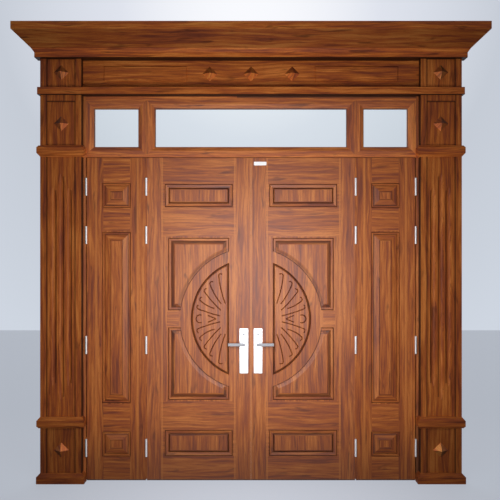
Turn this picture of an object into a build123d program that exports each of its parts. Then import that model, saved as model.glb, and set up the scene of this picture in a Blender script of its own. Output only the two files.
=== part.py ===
"""Four-leaf steel door with its frame, fixed transom lights and pilaster surround.

Two narrow side leaves hang on the frame and two wide main leaves hang on the side leaves.
X runs along the wall, -Y is the outside and +Z is up, in millimetres. The origin is on the
floor, in the middle of the footprint. Pieces are drawn on the right (+X) and mirrored.
"""

from build123d import *

import os
from math import atan2, cos, degrees, radians, sin, sqrt

os.makedirs("parts", exist_ok=True)

# Leaves and the gaps around them
MAIN_LEAF_WIDTH = 739.0
SIDE_LEAF_WIDTH = 422.0
LEAF_HEIGHT = 2292.0
LEAF_THICKNESS = 50.0
FLOOR_GAP = 8.0
TOP_GAP = 4.0
HINGE_GAP = 6.0
MEETING_GAP = 6.0
MEETING_STRIP_WIDTH = 16.0
MEETING_STRIP_THICKNESS = 3.0
MEETING_STRIP_CLEARANCE = 0.5

# Embossed panels: a fine line round the rim, a band or bead, a groove and a raised field
LINE_WIDTH = 6.0
LINE_DEPTH = 6.0
BEAD_DEPTH = 1.5
GROOVE_WALL = 3.0
PANEL_DEPTH = 11.0
FIELD_SINK = 3.0
MAIN_BAND_WIDTH = 20.0
MAIN_BAND_DEPTH = 4.0
MAIN_BEVEL = 9.0
BIG_BEAD_WIDTH = 14.0
BIG_BEVEL = 24.0
SIDE_BEAD_WIDTH = 8.0
SIDE_BEVEL = 41.0
SIDE_BEVEL_DEPTH = 1.0
SIDE_FIELD_STEP = 3.0
SIDE_FIELD_SINK = 4.0
MAIN_PANEL_WIDTH = 484.0
MAIN_TOP_PANEL_HEIGHT = 165.0
MAIN_TOP_PANEL_Z = 2031.0
MAIN_BOTTOM_PANEL_HEIGHT = 186.0
MAIN_BOTTOM_PANEL_Z = 267.0
BIG_PANEL_WIDTH = 434.0
BIG_PANEL_HEIGHT = 1155.0
BRIDGE_HEIGHT = 123.0
SIDE_PANEL_WIDTH = 202.0
SIDE_SQUARE_HEIGHT = 177.0
SIDE_TOP_SQUARE_Z = 2031.0
SIDE_BOTTOM_SQUARE_Z = 259.0
SIDE_TALL_PANEL_HEIGHT = 1221.0
SIDE_TALL_PANEL_Z = 1162.0

# Fan carving, a half disc whose centre lies on the meeting line
FAN_Z = 1152.0
RING_INNER_RADIUS = 430.0
RING_OUTER_RADIUS = 505.0
RING_EDGE_SLOPE = 4.0
RING_LINE_WIDTH = 3.0
FAN_OUTER_SLOPE = 5.0
FAN_INNER_SLOPE = 13.0
FAN_HUB_X = 178.0
PETAL_ANGLES = (19.5, 35.0, 51.3, 65.0, 80.3)
PETAL_ROOTS = (47.0, 110.0, 72.0, 112.0, 108.0)
PETAL_ROOT_TURN = 7.0
PETAL_TIP_RADIUS = 382.0
PETAL_HOOK_RADIUS = 15.0
PETAL_HOOK_SWEEP = 140.0
PETAL_LINE_WIDTH = 9.0
PETAL_LINE_DEPTH = 5.0
KNOB_RADIUS = 28.0
KNOB_X = 364.0
KNOB_SWEEP = 230.0
DART_X = 249.0
DART_LENGTH = 58.0
DART_HALF_WIDTH = 24.0

# Frame members, folded from sheet
FRAME_FACE = 70.0
FRAME_DEPTH = 120.0
FRAME_SHEET = 2.0
FRAME_LIP = 25.0
STOP_HEIGHT = 26.0
SEAL_ROOM = 4.0
SEAL_WIDTH = 12.0
SEAL_EDGE = 2.0
SEAL_CLEARANCE = 0.3
ANCHOR_HOLE_RADIUS = 5.5
ANCHOR_HEIGHTS = (500.0, 1300.0, 1560.0, 2220.0)

# Transom lights
BAR_FACE = 20.0
MULLION_FACE = 10.0
SASH_HEIGHT = 385.0
SASH_FLAT = 27.0
SASH_SPLAY = 29.0
SPLAY_DEPTH = 18.0
SASH_LAND = 4.0
GLASS_THICKNESS = 8.0
GLASS_COVER = 10.0
GLASS_EDGE_CLEARANCE = 0.5

# Pilasters
REVEAL_STRIP = 18.0
PILASTER_WIDTH = 291.0
PILASTER_DEPTH = 60.0
PILASTER_BORDER = 45.0
RECESS_DEPTH = 12.0
PLINTH_HEIGHT = 48.0
PLINTH_SLOPE = 23.0
PLINTH_OVERHANG = 23.0
PEDESTAL_HEIGHT = 319.0
MOULDING_STEP = 13.0
MOULDING_STEP_OVERHANG = 11.0
MOULDING_FACE = 40.0
MOULDING_SLOPE = 25.0
MOULDING_OVERHANG = 21.0
CAPITAL_HEIGHT = 359.0
CAPITAL_TOP_RAIL = 46.0
FLUTE_RADIUS = 23.0
FLUTE_DEPTH = 12.0
FLUTE_PITCH = 54.0
FLUTE_TAPER = 70.0
CENTER_FLUTE_MARGIN = 110.0
SIDE_FLUTE_MARGIN = 208.0

# Entablature
BAND_HEIGHT = 51.0
BAND_OVERHANG = 17.0
FRIEZE_HEIGHT = 204.0
FRIEZE_BOARD_THICKNESS = 8.0
FRIEZE_CENTER_RISE = 108.0
TABLET_WIDTH = 595.0
TABLET_HEIGHT = 111.0
TABLET_THICKNESS = 8.0
TABLET_BEVEL = 7.0
TABLET_X = 751.0
STUD_DIAGONAL = 106.0
STUD_HEIGHT = 36.0
STUD_TIP_WIDTH = 2.0
STUD_TURN = 45.0
FRIEZE_STUD_PITCH = 293.0
CORNICE_BED_OVERHANG = 32.0
CORNICE_BED_FACE = 34.0
CORNICE_STEP_OVERHANG = 50.0
CORNICE_STEP_SLOPE = 26.0
CORNICE_OVERHANG = 157.0
CORNICE_SLOPE = 102.0
CORNICE_FASCIA = 52.0

# Hinges
HINGE_HEIGHTS = (235.0, 967.0, 1749.0, 2093.0)
HINGE_LENGTH = 125.0
KNUCKLE_RADIUS = 7.5
KNUCKLE_SETOFF = 8.5
KNUCKLE_GAP = 0.5
WING_THICKNESS = 2.5
WING_WIDTH = 40.0
WING_FRONT = 0.5
PIN_RADIUS = 4.0
PIN_CLEARANCE = 0.05
PIN_END_COVER = 3.0
LEAF_STOP_WIDTH = 42.0
LEAF_STOP_THICKNESS = 4.0
LEAF_STOP_COVER = 16.0
LEAF_STOP_RELIEF = 0.4
LEAF_STOP_END_GAP = 6.0

# Handles and locks
BACKSET = 47.5
LEVER_Z = 974.0
PLATE_WIDTH = 63.0
PLATE_HEIGHT = 321.0
PLATE_ABOVE_LEVER = 111.0
PLATE_THICKNESS = 8.0
PLATE_CORNER_RADIUS = 5.0
PLATE_EDGE_CHAMFER = 2.0
LEVER_RADIUS = 10.0
LEVER_LENGTH = 112.0
LEVER_REACH = 58.0
LEVER_BAR_HEIGHT = 22.0
LEVER_BAR_THICKNESS = 12.0
LEVER_END_RADIUS = 5.0
LEVER_EDGE_CHAMFER = 3.0
LEVER_CLEARANCE = 0.3
SPINDLE_WIDTH = 8.0
SPINDLE_HOLE_RADIUS = 6.5
KEY_ABOVE_LEVER = 67.0
KEY_RADIUS = 8.5
KEY_PROUD = 1.5
KEY_CLEARANCE = 0.1
KEY_SLOT_WIDTH = 2.5
KEY_SLOT_HEIGHT = 9.0
KEY_SLOT_DEPTH = 6.0
CASE_DEPTH = 80.0
CASE_THICKNESS = 22.0
CASE_CLEARANCE = 0.3
LOCK_CASE_BELOW = 148.0
LOCK_CASE_ABOVE = 112.0
GEAR_CASE_BELOW = 48.0
GEAR_CASE_ABOVE = 127.0
BOLT_RADIUS = 8.0
BOLT_LENGTH = 46.0
BOLT_DROPS = (70.0, 100.0, 130.0)
BOLT_CLEARANCE = 0.1
BOLT_REST_BACK = 1.0
STRIKE_DEPTH = 26.0
STRIKE_THICKNESS = 3.0
STRIKE_END = 18.0
STRIKE_HOLE_CLEARANCE = 1.0
ROD_RADIUS = 6.0
ROD_CLEARANCE = 0.3
ROD_REST_BACK = 2.0
ROD_IN_CASE = 29.0
ROD_SOCKET_DEPTH = 17.0
ROD_SOCKET_CLEARANCE = 0.8
FLUSH_BOLT_INSET = 30.0
FLUSH_BOLT_LENGTH = 350.0
FLUSH_BOLT_THROW = 20.0
THUMB_WIDTH = 8.0
THUMB_HEIGHT = 26.0
THUMB_EDGE_BACK = 1.0
THUMB_CLEARANCE = 0.4

# One overrun serves all cuts
CUT_OVERRUN = 1.0

# Places that follow from the sizes
FACE_Y = (PILASTER_DEPTH + CORNICE_OVERHANG - FRAME_DEPTH) / 2
MAIN_EDGE_X = MEETING_GAP / 2
MAIN_HINGE_EDGE_X = MAIN_EDGE_X + MAIN_LEAF_WIDTH
INNER_AXIS_X = MAIN_HINGE_EDGE_X + HINGE_GAP / 2
SIDE_EDGE_X = INNER_AXIS_X + HINGE_GAP / 2
SIDE_HINGE_EDGE_X = SIDE_EDGE_X + SIDE_LEAF_WIDTH
OUTER_AXIS_X = SIDE_HINGE_EDGE_X + HINGE_GAP / 2
JAMB_X = OUTER_AXIS_X + HINGE_GAP / 2
STOP_X = JAMB_X - STOP_HEIGHT
REBATE_DEPTH = LEAF_THICKNESS + SEAL_ROOM
MID_DEPTH = LEAF_THICKNESS / 2
LEAF_TOP_Z = FLOOR_GAP + LEAF_HEIGHT
BAR_Z = LEAF_TOP_Z + TOP_GAP
SASH_Z = BAR_Z + BAR_FACE
HEAD_Z = SASH_Z + SASH_HEIGHT
HEAD_TOP_Z = HEAD_Z + FRAME_FACE
PILASTER_X = JAMB_X + REVEAL_STRIP
PILASTER_OUTER_X = PILASTER_X + PILASTER_WIDTH
PILASTER_MID_X = (PILASTER_X + PILASTER_OUTER_X) / 2
PEDESTAL_Z = PLINTH_HEIGHT + PLINTH_SLOPE
MOULDING_HEIGHT = MOULDING_STEP + MOULDING_FACE + MOULDING_SLOPE
CAP_Z = PEDESTAL_Z + PEDESTAL_HEIGHT
SHAFT_Z = CAP_Z + MOULDING_HEIGHT
NECK_Z = LEAF_TOP_Z
CAPITAL_Z = NECK_Z + MOULDING_HEIGHT
BAND_Z = CAPITAL_Z + CAPITAL_HEIGHT
FRIEZE_Z = BAND_Z + BAND_HEIGHT
CORNICE_Z = FRIEZE_Z + FRIEZE_HEIGHT
RECESS_WIDTH = PILASTER_WIDTH - 2 * PILASTER_BORDER
LEVER_X = MAIN_EDGE_X + BACKSET
KEY_Z = LEVER_Z + KEY_ABOVE_LEVER
PLATE_Z = LEVER_Z + PLATE_ABOVE_LEVER - PLATE_HEIGHT / 2
FLUSH_BOLT_X = SIDE_EDGE_X + FLUSH_BOLT_INSET
BOLT_HEIGHTS = [LEVER_Z - drop for drop in BOLT_DROPS]
STRIKE_RADIUS = BOLT_RADIUS + STRIKE_HOLE_CLEARANCE
LEAF_FACES = ((0, 1), (LEAF_THICKNESS, -1))
MAIN_MID_X = (MAIN_EDGE_X + MAIN_HINGE_EDGE_X) / 2
BIG_PANEL_X = MAIN_MID_X - BIG_PANEL_WIDTH / 2
CORNER_HEIGHT = (BIG_PANEL_HEIGHT - BRIDGE_HEIGHT) / 2
MAIN_GROOVE = LINE_WIDTH + MAIN_BAND_WIDTH + GROOVE_WALL
BIG_GROOVE = LINE_WIDTH + BIG_BEAD_WIDTH + GROOVE_WALL
SIDE_GROOVE = LINE_WIDTH + SIDE_BEAD_WIDTH + GROOVE_WALL
SIDE_CREST = SIDE_GROOVE + SIDE_BEVEL

# Profiles of the panels from the rim inwards: distance from the rim, depth under the face
LINE_PROFILE = ((0, 0), (LINE_WIDTH / 2, LINE_DEPTH), (LINE_WIDTH, BEAD_DEPTH))
MAIN_PROFILE = (
    *LINE_PROFILE,
    (LINE_WIDTH + MAIN_BAND_WIDTH, MAIN_BAND_DEPTH),
    (MAIN_GROOVE, PANEL_DEPTH),
    (MAIN_GROOVE + MAIN_BEVEL, FIELD_SINK),
)
BIG_PROFILE = (
    *LINE_PROFILE,
    (LINE_WIDTH + BIG_BEAD_WIDTH, BEAD_DEPTH),
    (BIG_GROOVE, PANEL_DEPTH),
    (BIG_GROOVE + BIG_BEVEL, FIELD_SINK),
)
SIDE_PROFILE = (
    *LINE_PROFILE,
    (LINE_WIDTH + SIDE_BEAD_WIDTH, BEAD_DEPTH),
    (SIDE_GROOVE, PANEL_DEPTH),
    (SIDE_CREST, SIDE_BEVEL_DEPTH),
    (SIDE_CREST + SIDE_FIELD_STEP, SIDE_FIELD_SINK),
)

SASH_RAIL = SASH_FLAT + SASH_SPLAY
GLASS_DEPTH = SPLAY_DEPTH + SASH_LAND
SIDE_SASH_X = (INNER_AXIS_X + MULLION_FACE / 2, JAMB_X)
CENTER_SASH_X = (-INNER_AXIS_X + MULLION_FACE / 2, INNER_AXIS_X - MULLION_FACE / 2)

nodes = {}


def wall_plane(depth):
    """Plane parallel to the leaf faces, at a depth behind them, whose normal looks outside."""
    return Plane.XZ.offset(-(FACE_Y + depth))


def block(x_range, depth_range, z_range, mode=Mode.ADD):
    """Box between two values of x, of depth behind the leaf faces and of z."""
    with BuildSketch(wall_plane(depth_range[0])) as face:
        with Locations((sum(x_range) / 2, sum(z_range) / 2)):
            Rectangle(x_range[1] - x_range[0], z_range[1] - z_range[0])
    extrude(face.sketch, amount=depth_range[0] - depth_range[1], mode=mode)


def round_along_x(x_range, depth, heights, radius, mode=Mode.ADD):
    """Cylinders along X at one depth and several heights."""
    with BuildSketch(Plane.YZ.offset(x_range[0])) as ends:
        with Locations(*[(FACE_Y + depth, height) for height in heights]):
            Circle(radius)
    extrude(ends.sketch, amount=x_range[1] - x_range[0], mode=mode)


def round_along_y(x, z, depth_range, radius, mode=Mode.ADD):
    """Cylinder through the leaf's thickness."""
    with BuildSketch(wall_plane(depth_range[0])) as end:
        with Locations((x, z)):
            Circle(radius)
    extrude(end.sketch, amount=depth_range[0] - depth_range[1], mode=mode)


def round_along_z(x, depth, z_range, radius, mode=Mode.ADD):
    """Upright cylinder."""
    with BuildSketch(Plane.XY.offset(z_range[0])) as end:
        with Locations((x, FACE_Y + depth)):
            Circle(radius)
    extrude(end.sketch, amount=z_range[1] - z_range[0], mode=mode)


def mirrored(part):
    """The same piece on the left."""
    with BuildPart() as copy:
        mirror(part, about=Plane.YZ)
    return copy.part


def both_sides(part):
    """A piece and its mirror image in one node."""
    with BuildPart() as pair:
        add(part)
        mirror(part, about=Plane.YZ)
    return pair.part


def keep_pair(name, part):
    """Register a right-hand piece and its left-hand mirror image as two nodes."""
    nodes[f"right_{name}"] = part
    nodes[f"left_{name}"] = mirrored(part)


# Embossed panels; an outline is a rectangle given by its two values of x and two of z


def slope_angle(width, depth):
    return degrees(atan2(width, depth))


def draw_rectangle(center_x, center_z, width, height):
    with Locations((center_x, center_z)):
        Rectangle(width, height)


def centered_outline(center_x, center_z, width, height):
    return (center_x - width / 2, center_x + width / 2, center_z - height / 2, center_z + height / 2)


def inset_outline(outline, amount):
    low_x, high_x, low_z, high_z = outline
    return (low_x + amount, high_x - amount, low_z + amount, high_z - amount)


def frustum(ends, mode=Mode.ADD):
    """Block with flat leaning sides between two ends, each a depth and an outline."""
    (near_depth, near), (far_depth, far) = sorted(ends)
    low_x, high_x, low_z, high_z = near
    with Locations((low_x, FACE_Y + near_depth, low_z)):
        Wedge(
            high_x - low_x,
            far_depth - near_depth,
            high_z - low_z,
            far[0] - low_x,
            far[2] - low_z,
            far[1] - low_x,
            far[3] - low_z,
            align=None,
            mode=mode,
        )


def emboss(face_depth, inward, outline, profile):
    """Press a profile into a leaf's face, step by step from the rim of an outline inwards."""
    for (inset, depth), (next_inset, next_depth) in zip(profile, profile[1:]):
        ends = (
            (face_depth + inward * depth, inset_outline(outline, inset)),
            (face_depth + inward * next_depth, inset_outline(outline, next_inset)),
        )
        if next_depth > depth:
            frustum(ends, Mode.SUBTRACT)
        elif next_depth < depth:
            frustum(ends)


def fan_outline(chord_x):
    """Outline from a chord to beyond the ring, for the round pieces of the fan."""
    reach = 2 * RING_OUTER_RADIUS
    return (chord_x, reach, FAN_Z - reach, FAN_Z + reach)


def round_slice(ends, radii):
    """Flat cone round the middle of the meeting line, cut to a block with leaning sides."""
    (depth, _), (next_depth, _) = ends
    with BuildPart() as cone:
        with BuildSketch(Plane.XY.offset(FAN_Z)) as half_section:
            with BuildLine() as rim:
                Polyline(
                    (0, FACE_Y + depth),
                    (radii[0], FACE_Y + depth),
                    (radii[1], FACE_Y + next_depth),
                    (0, FACE_Y + next_depth),
                    (0, FACE_Y + depth),
                )
            make_face(rim.edges())
        revolve(half_section.sketch, axis=Axis((0, 0, FAN_Z), (0, 1, 0)))
        frustum(ends, Mode.INTERSECT)
    return cone.part


def raise_ring(face_depth, inward, corner_outlines):
    """Disc at the level of the stiles, over corner fields that slope down to its rim."""
    field = face_depth + inward * FIELD_SINK
    valley = face_depth + inward * PANEL_DEPTH
    foot = RING_OUTER_RADIUS + RING_EDGE_SLOPE
    for outline in corner_outlines:
        inside = inset_outline(outline, BIG_GROOVE)
        low_radius = foot + RING_LINE_WIDTH
        bevel = round_slice(((valley, inside), (field, inside)), (low_radius, low_radius + BIG_BEVEL))
        add(bevel, mode=Mode.SUBTRACT)
    disc = fan_outline(MAIN_EDGE_X)
    add(round_slice(((valley, disc), (face_depth, disc)), (foot, RING_OUTER_RADIUS)))


def fan_point(reach, angle):
    """Point at a distance and an angle from the hub of the fan."""
    turned = radians(angle)
    return (FAN_HUB_X + reach * cos(turned), FAN_Z + reach * sin(turned))


def petal_reach(angle):
    """Distance from the hub to the circle of the petals' tips."""
    across = FAN_HUB_X * sin(radians(angle))
    return sqrt(PETAL_TIP_RADIUS**2 - across**2) - FAN_HUB_X * cos(radians(angle))


def carve_line(path, inward):
    """V cut along a path that lies on the fan's field."""
    half = PETAL_LINE_WIDTH / 2
    section_plane = Plane(path.line @ 0, x_dir=(0, inward, 0), z_dir=path.line % 0)
    with BuildSketch(section_plane) as section:
        with BuildLine() as edge:
            Polyline((0, -half), (PETAL_LINE_DEPTH, 0), (0, half), (0, -half))
        make_face(edge.edges())
    sweep(section.sketch, path=path.line, mode=Mode.SUBTRACT)


def carve_fan(face_depth, inward):
    """Sunk half disc with hooked petal lines, a round knob and a dart."""
    slopes = (0, FAN_OUTER_SLOPE, FAN_OUTER_SLOPE + FAN_INNER_SLOPE)
    depths = [face_depth + inward * sink for sink in (0, PANEL_DEPTH, FIELD_SINK)]
    ends = [(depth, fan_outline(BIG_PANEL_X + slope)) for depth, slope in zip(depths, slopes)]
    radii = [RING_INNER_RADIUS - slope for slope in slopes]
    add(round_slice(ends[:2], radii[:2]), mode=Mode.SUBTRACT)
    add(round_slice(ends[1:], radii[1:]))
    field = wall_plane(face_depth + inward * FIELD_SINK)
    for turn in (1, -1):
        for angle, root in zip(PETAL_ANGLES, PETAL_ROOTS):
            tip = petal_reach(angle)
            with BuildLine(field) as petal:
                side = ThreePointArc(
                    fan_point(root, turn * (angle + PETAL_ROOT_TURN)),
                    fan_point((root + tip) / 2, turn * angle),
                    fan_point(tip, turn * angle),
                )
                JernArc(side @ 1, side % 1, PETAL_HOOK_RADIUS, turn * PETAL_HOOK_SWEEP)
            carve_line(petal, inward)
        with BuildLine(field) as dart:
            Line((DART_X, FAN_Z), (DART_X + DART_LENGTH, FAN_Z + turn * DART_HALF_WIDTH))
        carve_line(dart, inward)
    with BuildLine(field) as knob:
        CenterArc((KNOB_X, FAN_Z), KNOB_RADIUS, -KNOB_SWEEP / 2, KNOB_SWEEP)
    carve_line(knob, inward)


def main_leaf_blank():
    """Main leaf with its embossed faces and meeting strip, without lock cut-outs."""
    corner_rise = (BIG_PANEL_HEIGHT - CORNER_HEIGHT) / 2
    panels = (
        centered_outline(MAIN_MID_X, MAIN_TOP_PANEL_Z, MAIN_PANEL_WIDTH, MAIN_TOP_PANEL_HEIGHT),
        centered_outline(MAIN_MID_X, MAIN_BOTTOM_PANEL_Z, MAIN_PANEL_WIDTH, MAIN_BOTTOM_PANEL_HEIGHT),
    )
    corners = [
        centered_outline(MAIN_MID_X, FAN_Z + rise, BIG_PANEL_WIDTH, CORNER_HEIGHT)
        for rise in (corner_rise, -corner_rise)
    ]
    with BuildPart() as leaf:
        block((MAIN_EDGE_X, MAIN_HINGE_EDGE_X), (0, LEAF_THICKNESS), (FLOOR_GAP, LEAF_TOP_Z))
        for face_depth, inward in LEAF_FACES:
            for outline in panels:
                emboss(face_depth, inward, outline, MAIN_PROFILE)
            for outline in corners:
                emboss(face_depth, inward, outline, BIG_PROFILE)
            raise_ring(face_depth, inward, corners)
            carve_fan(face_depth, inward)
        block(
            (MEETING_STRIP_CLEARANCE, MEETING_STRIP_CLEARANCE + MEETING_STRIP_WIDTH),
            (-MEETING_STRIP_THICKNESS, 0),
            (FLOOR_GAP, LEAF_TOP_Z),
        )
        spindle_and_key_holes()
    return leaf.part


def spindle_and_key_holes():
    """Holes through the leaf for the lever spindle and the key cylinder."""
    through = (-CUT_OVERRUN, LEAF_THICKNESS + CUT_OVERRUN)
    round_along_y(LEVER_X, LEVER_Z, through, SPINDLE_HOLE_RADIUS, Mode.SUBTRACT)
    round_along_y(LEVER_X, KEY_Z, through, KEY_RADIUS + KEY_CLEARANCE, Mode.SUBTRACT)


def side_leaf():
    """Side leaf with three embossed panels on each face, rod bores and thumb slots."""
    center_x = (SIDE_EDGE_X + SIDE_HINGE_EDGE_X) / 2
    panels = (
        (SIDE_TOP_SQUARE_Z, SIDE_SQUARE_HEIGHT),
        (SIDE_TALL_PANEL_Z, SIDE_TALL_PANEL_HEIGHT),
        (SIDE_BOTTOM_SQUARE_Z, SIDE_SQUARE_HEIGHT),
    )
    with BuildPart() as leaf:
        block((SIDE_EDGE_X, SIDE_HINGE_EDGE_X), (0, LEAF_THICKNESS), (FLOOR_GAP, LEAF_TOP_Z))
        for face_depth, inward in LEAF_FACES:
            for center_z, height in panels:
                outline = centered_outline(center_x, center_z, SIDE_PANEL_WIDTH, height)
                emboss(face_depth, inward, outline, SIDE_PROFILE)
        for tip_z, tail_z in flush_bolt_ends():
            flush_bolt_room(tip_z, tail_z)
    return leaf.part


def flush_bolt_ends():
    """Tip and tail heights of the top and the bottom flush bolt, drawn back."""
    top = LEAF_TOP_Z - ROD_REST_BACK
    bottom = FLOOR_GAP + ROD_REST_BACK
    return ((top, top - FLUSH_BOLT_LENGTH), (bottom, bottom + FLUSH_BOLT_LENGTH))


def flush_bolt_room(tip_z, tail_z):
    """Bore for the rod and slot in the leaf's edge for its thumb stud."""
    way = 1 if tip_z > tail_z else -1
    slot_length = THUMB_HEIGHT + FLUSH_BOLT_THROW + THUMB_CLEARANCE
    bore_ends = sorted((tip_z + way * (ROD_REST_BACK + CUT_OVERRUN), tail_z - way * ROD_CLEARANCE))
    slot_ends = sorted((tail_z - way * THUMB_CLEARANCE, tail_z + way * slot_length))
    half_slot = THUMB_WIDTH / 2 + THUMB_CLEARANCE
    round_along_z(FLUSH_BOLT_X, MID_DEPTH, bore_ends, ROD_RADIUS + ROD_CLEARANCE, Mode.SUBTRACT)
    block(
        (SIDE_EDGE_X - CUT_OVERRUN, FLUSH_BOLT_X),
        (MID_DEPTH - half_slot, MID_DEPTH + half_slot),
        slot_ends,
        Mode.SUBTRACT,
    )


def flush_bolt(tip_z, tail_z):
    """Round rod with a thumb stud at its tail that lies just inside the leaf's edge."""
    way = 1 if tip_z > tail_z else -1
    with BuildPart() as bolt:
        round_along_z(FLUSH_BOLT_X, MID_DEPTH, sorted((tip_z, tail_z)), ROD_RADIUS)
        block(
            (SIDE_EDGE_X + THUMB_EDGE_BACK, FLUSH_BOLT_X),
            (MID_DEPTH - THUMB_WIDTH / 2, MID_DEPTH + THUMB_WIDTH / 2),
            sorted((tail_z, tail_z + way * THUMB_HEIGHT)),
        )
    return bolt.part


def leaf_stop():
    """Flat bar on the back of the side leaf that the main leaf's hinge edge closes against."""
    inner_x = MAIN_HINGE_EDGE_X - LEAF_STOP_COVER
    z_range = (FLOOR_GAP, BAR_Z - STOP_HEIGHT - LEAF_STOP_END_GAP)
    back = LEAF_THICKNESS + LEAF_STOP_THICKNESS
    with BuildPart() as stop:
        block((SIDE_EDGE_X, inner_x + LEAF_STOP_WIDTH), (LEAF_THICKNESS, back), z_range)
        block((inner_x, SIDE_EDGE_X), (LEAF_THICKNESS + LEAF_STOP_RELIEF, back), z_range)
    return stop.part


# Hinges: the lower knuckle is on the carrying side, the upper one on the leaf that swings


def knuckle_range(center_z, side):
    """Heights of the lower knuckle (side 1) or the upper one (side -1)."""
    half = HINGE_LENGTH / 2
    if side > 0:
        return (center_z - half, center_z - KNUCKLE_GAP / 2)
    return (center_z + KNUCKLE_GAP / 2, center_z + half)


def pin_range(center_z):
    half = HINGE_LENGTH / 2 - PIN_END_COVER
    return (center_z - half, center_z + half)


def hinge_wings(axis_x, side):
    """Four wings with their knuckles, outside the axis (side 1) or inside it (side -1)."""
    edge_x = axis_x + side * HINGE_GAP / 2
    wing_x = sorted((edge_x, edge_x - side * WING_THICKNESS))
    with BuildPart() as wings:
        for center_z in HINGE_HEIGHTS:
            half = HINGE_LENGTH / 2
            own = knuckle_range(center_z, side)
            block(wing_x, (WING_FRONT, WING_FRONT + WING_WIDTH), (center_z - half, center_z + half))
            block(wing_x, (-KNUCKLE_SETOFF, WING_FRONT), own)
            round_along_z(axis_x, -KNUCKLE_SETOFF, own, KNUCKLE_RADIUS)
        bore_radius = PIN_RADIUS + PIN_CLEARANCE
        for center_z in HINGE_HEIGHTS:
            round_along_z(axis_x, -KNUCKLE_SETOFF, pin_range(center_z), bore_radius, Mode.SUBTRACT)
    return wings.part


def hinge_pins(axis_x):
    with BuildPart() as pins:
        for center_z in HINGE_HEIGHTS:
            low, high = pin_range(center_z)
            round_along_z(axis_x, -KNUCKLE_SETOFF, (low + PIN_CLEARANCE, high - PIN_CLEARANCE), PIN_RADIUS)
    return pins.part


# Frame


def folded_profile(plane, points, amount, both=False):
    """Sheet folded along a path, with the metal on the hidden side of the path."""
    with BuildSketch(plane) as profile:
        with BuildLine() as path:
            Polyline(*points)
            offset(amount=FRAME_SHEET, side=Side.RIGHT, kind=Kind.INTERSECTION)
        make_face(path.edges())
    extrude(profile.sketch, amount=amount, both=both)


def jamb():
    """Upright of the frame with its rebate, stop and wall anchor holes."""
    outer_x = JAMB_X + FRAME_FACE
    back_y = FACE_Y + FRAME_DEPTH
    rebate_y = FACE_Y + REBATE_DEPTH
    path = (
        (outer_x, FACE_Y + FRAME_LIP),
        (outer_x, FACE_Y),
        (JAMB_X, FACE_Y),
        (JAMB_X, rebate_y),
        (STOP_X, rebate_y),
        (STOP_X, back_y),
        (outer_x, back_y),
        (outer_x, back_y - FRAME_LIP),
    )
    with BuildPart() as upright:
        folded_profile(Plane.XY, path, HEAD_TOP_Z)
        round_along_x(
            (JAMB_X - CUT_OVERRUN, JAMB_X + FRAME_SHEET + CUT_OVERRUN),
            REBATE_DEPTH / 2,
            ANCHOR_HEIGHTS,
            ANCHOR_HOLE_RADIUS,
            Mode.SUBTRACT,
        )
    return upright.part


def notch_stop_ends(z_range):
    """Room at both ends of a cross member for the stops of the jambs."""
    for x_range in ((STOP_X, JAMB_X + CUT_OVERRUN), (-JAMB_X - CUT_OVERRUN, -STOP_X)):
        block(x_range, (REBATE_DEPTH, FRAME_DEPTH + CUT_OVERRUN), z_range, Mode.SUBTRACT)


def head_jamb():
    """Top member between the jambs, of the same folded section."""
    back_y = FACE_Y + FRAME_DEPTH
    rebate_y = FACE_Y + REBATE_DEPTH
    path = (
        (FACE_Y + FRAME_LIP, HEAD_TOP_Z),
        (FACE_Y, HEAD_TOP_Z),
        (FACE_Y, HEAD_Z),
        (rebate_y, HEAD_Z),
        (rebate_y, HEAD_Z - STOP_HEIGHT),
        (back_y, HEAD_Z - STOP_HEIGHT),
        (back_y, HEAD_TOP_Z),
        (back_y - FRAME_LIP, HEAD_TOP_Z),
    )
    with BuildPart() as head:
        folded_profile(Plane.YZ, path[::-1], JAMB_X, both=True)
        notch_stop_ends((HEAD_Z - STOP_HEIGHT - CUT_OVERRUN, HEAD_TOP_Z + CUT_OVERRUN))
    return head.part


def transom_bar():
    """Bar over the leaves, with a stop below and above and sockets for the rods."""
    socket_radius = ROD_RADIUS + ROD_SOCKET_CLEARANCE
    socket_range = (BAR_Z - CUT_OVERRUN, BAR_Z + ROD_SOCKET_DEPTH)
    stop_range = (BAR_Z - STOP_HEIGHT, SASH_Z + STOP_HEIGHT)
    with BuildPart() as bar:
        block((-JAMB_X, JAMB_X), (0, REBATE_DEPTH), (BAR_Z, SASH_Z))
        block((-STOP_X, STOP_X), (REBATE_DEPTH, FRAME_DEPTH), stop_range)
        for x in (-FLUSH_BOLT_X, -LEVER_X, FLUSH_BOLT_X):
            round_along_z(x, MID_DEPTH, socket_range, socket_radius, Mode.SUBTRACT)
    return bar.part


def mullion():
    """Post between two transom lights, with a stop behind both sashes."""
    half = MULLION_FACE / 2
    stop_range = (SASH_Z + STOP_HEIGHT, HEAD_Z - STOP_HEIGHT)
    with BuildPart() as post:
        block((INNER_AXIS_X - half, INNER_AXIS_X + half), (0, REBATE_DEPTH), (SASH_Z, HEAD_Z))
        block(
            (INNER_AXIS_X - half - STOP_HEIGHT, INNER_AXIS_X + half + STOP_HEIGHT),
            (REBATE_DEPTH, FRAME_DEPTH),
            stop_range,
        )
    return post.part


def frame_seal():
    """Rubber strips on the stops, along both jambs and the transom bar."""
    depth_range = (LEAF_THICKNESS + SEAL_CLEARANCE, REBATE_DEPTH)
    inner_x = STOP_X + SEAL_EDGE
    low_z = BAR_Z - STOP_HEIGHT + SEAL_EDGE
    with BuildPart() as seal:
        block((inner_x, inner_x + SEAL_WIDTH), depth_range, (FLOOR_GAP, low_z))
        block((-inner_x - SEAL_WIDTH, -inner_x), depth_range, (FLOOR_GAP, low_z))
        block((-inner_x - SEAL_WIDTH, inner_x + SEAL_WIDTH), depth_range, (low_z, low_z + SEAL_WIDTH))
    return seal.part


# Transom lights


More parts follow.
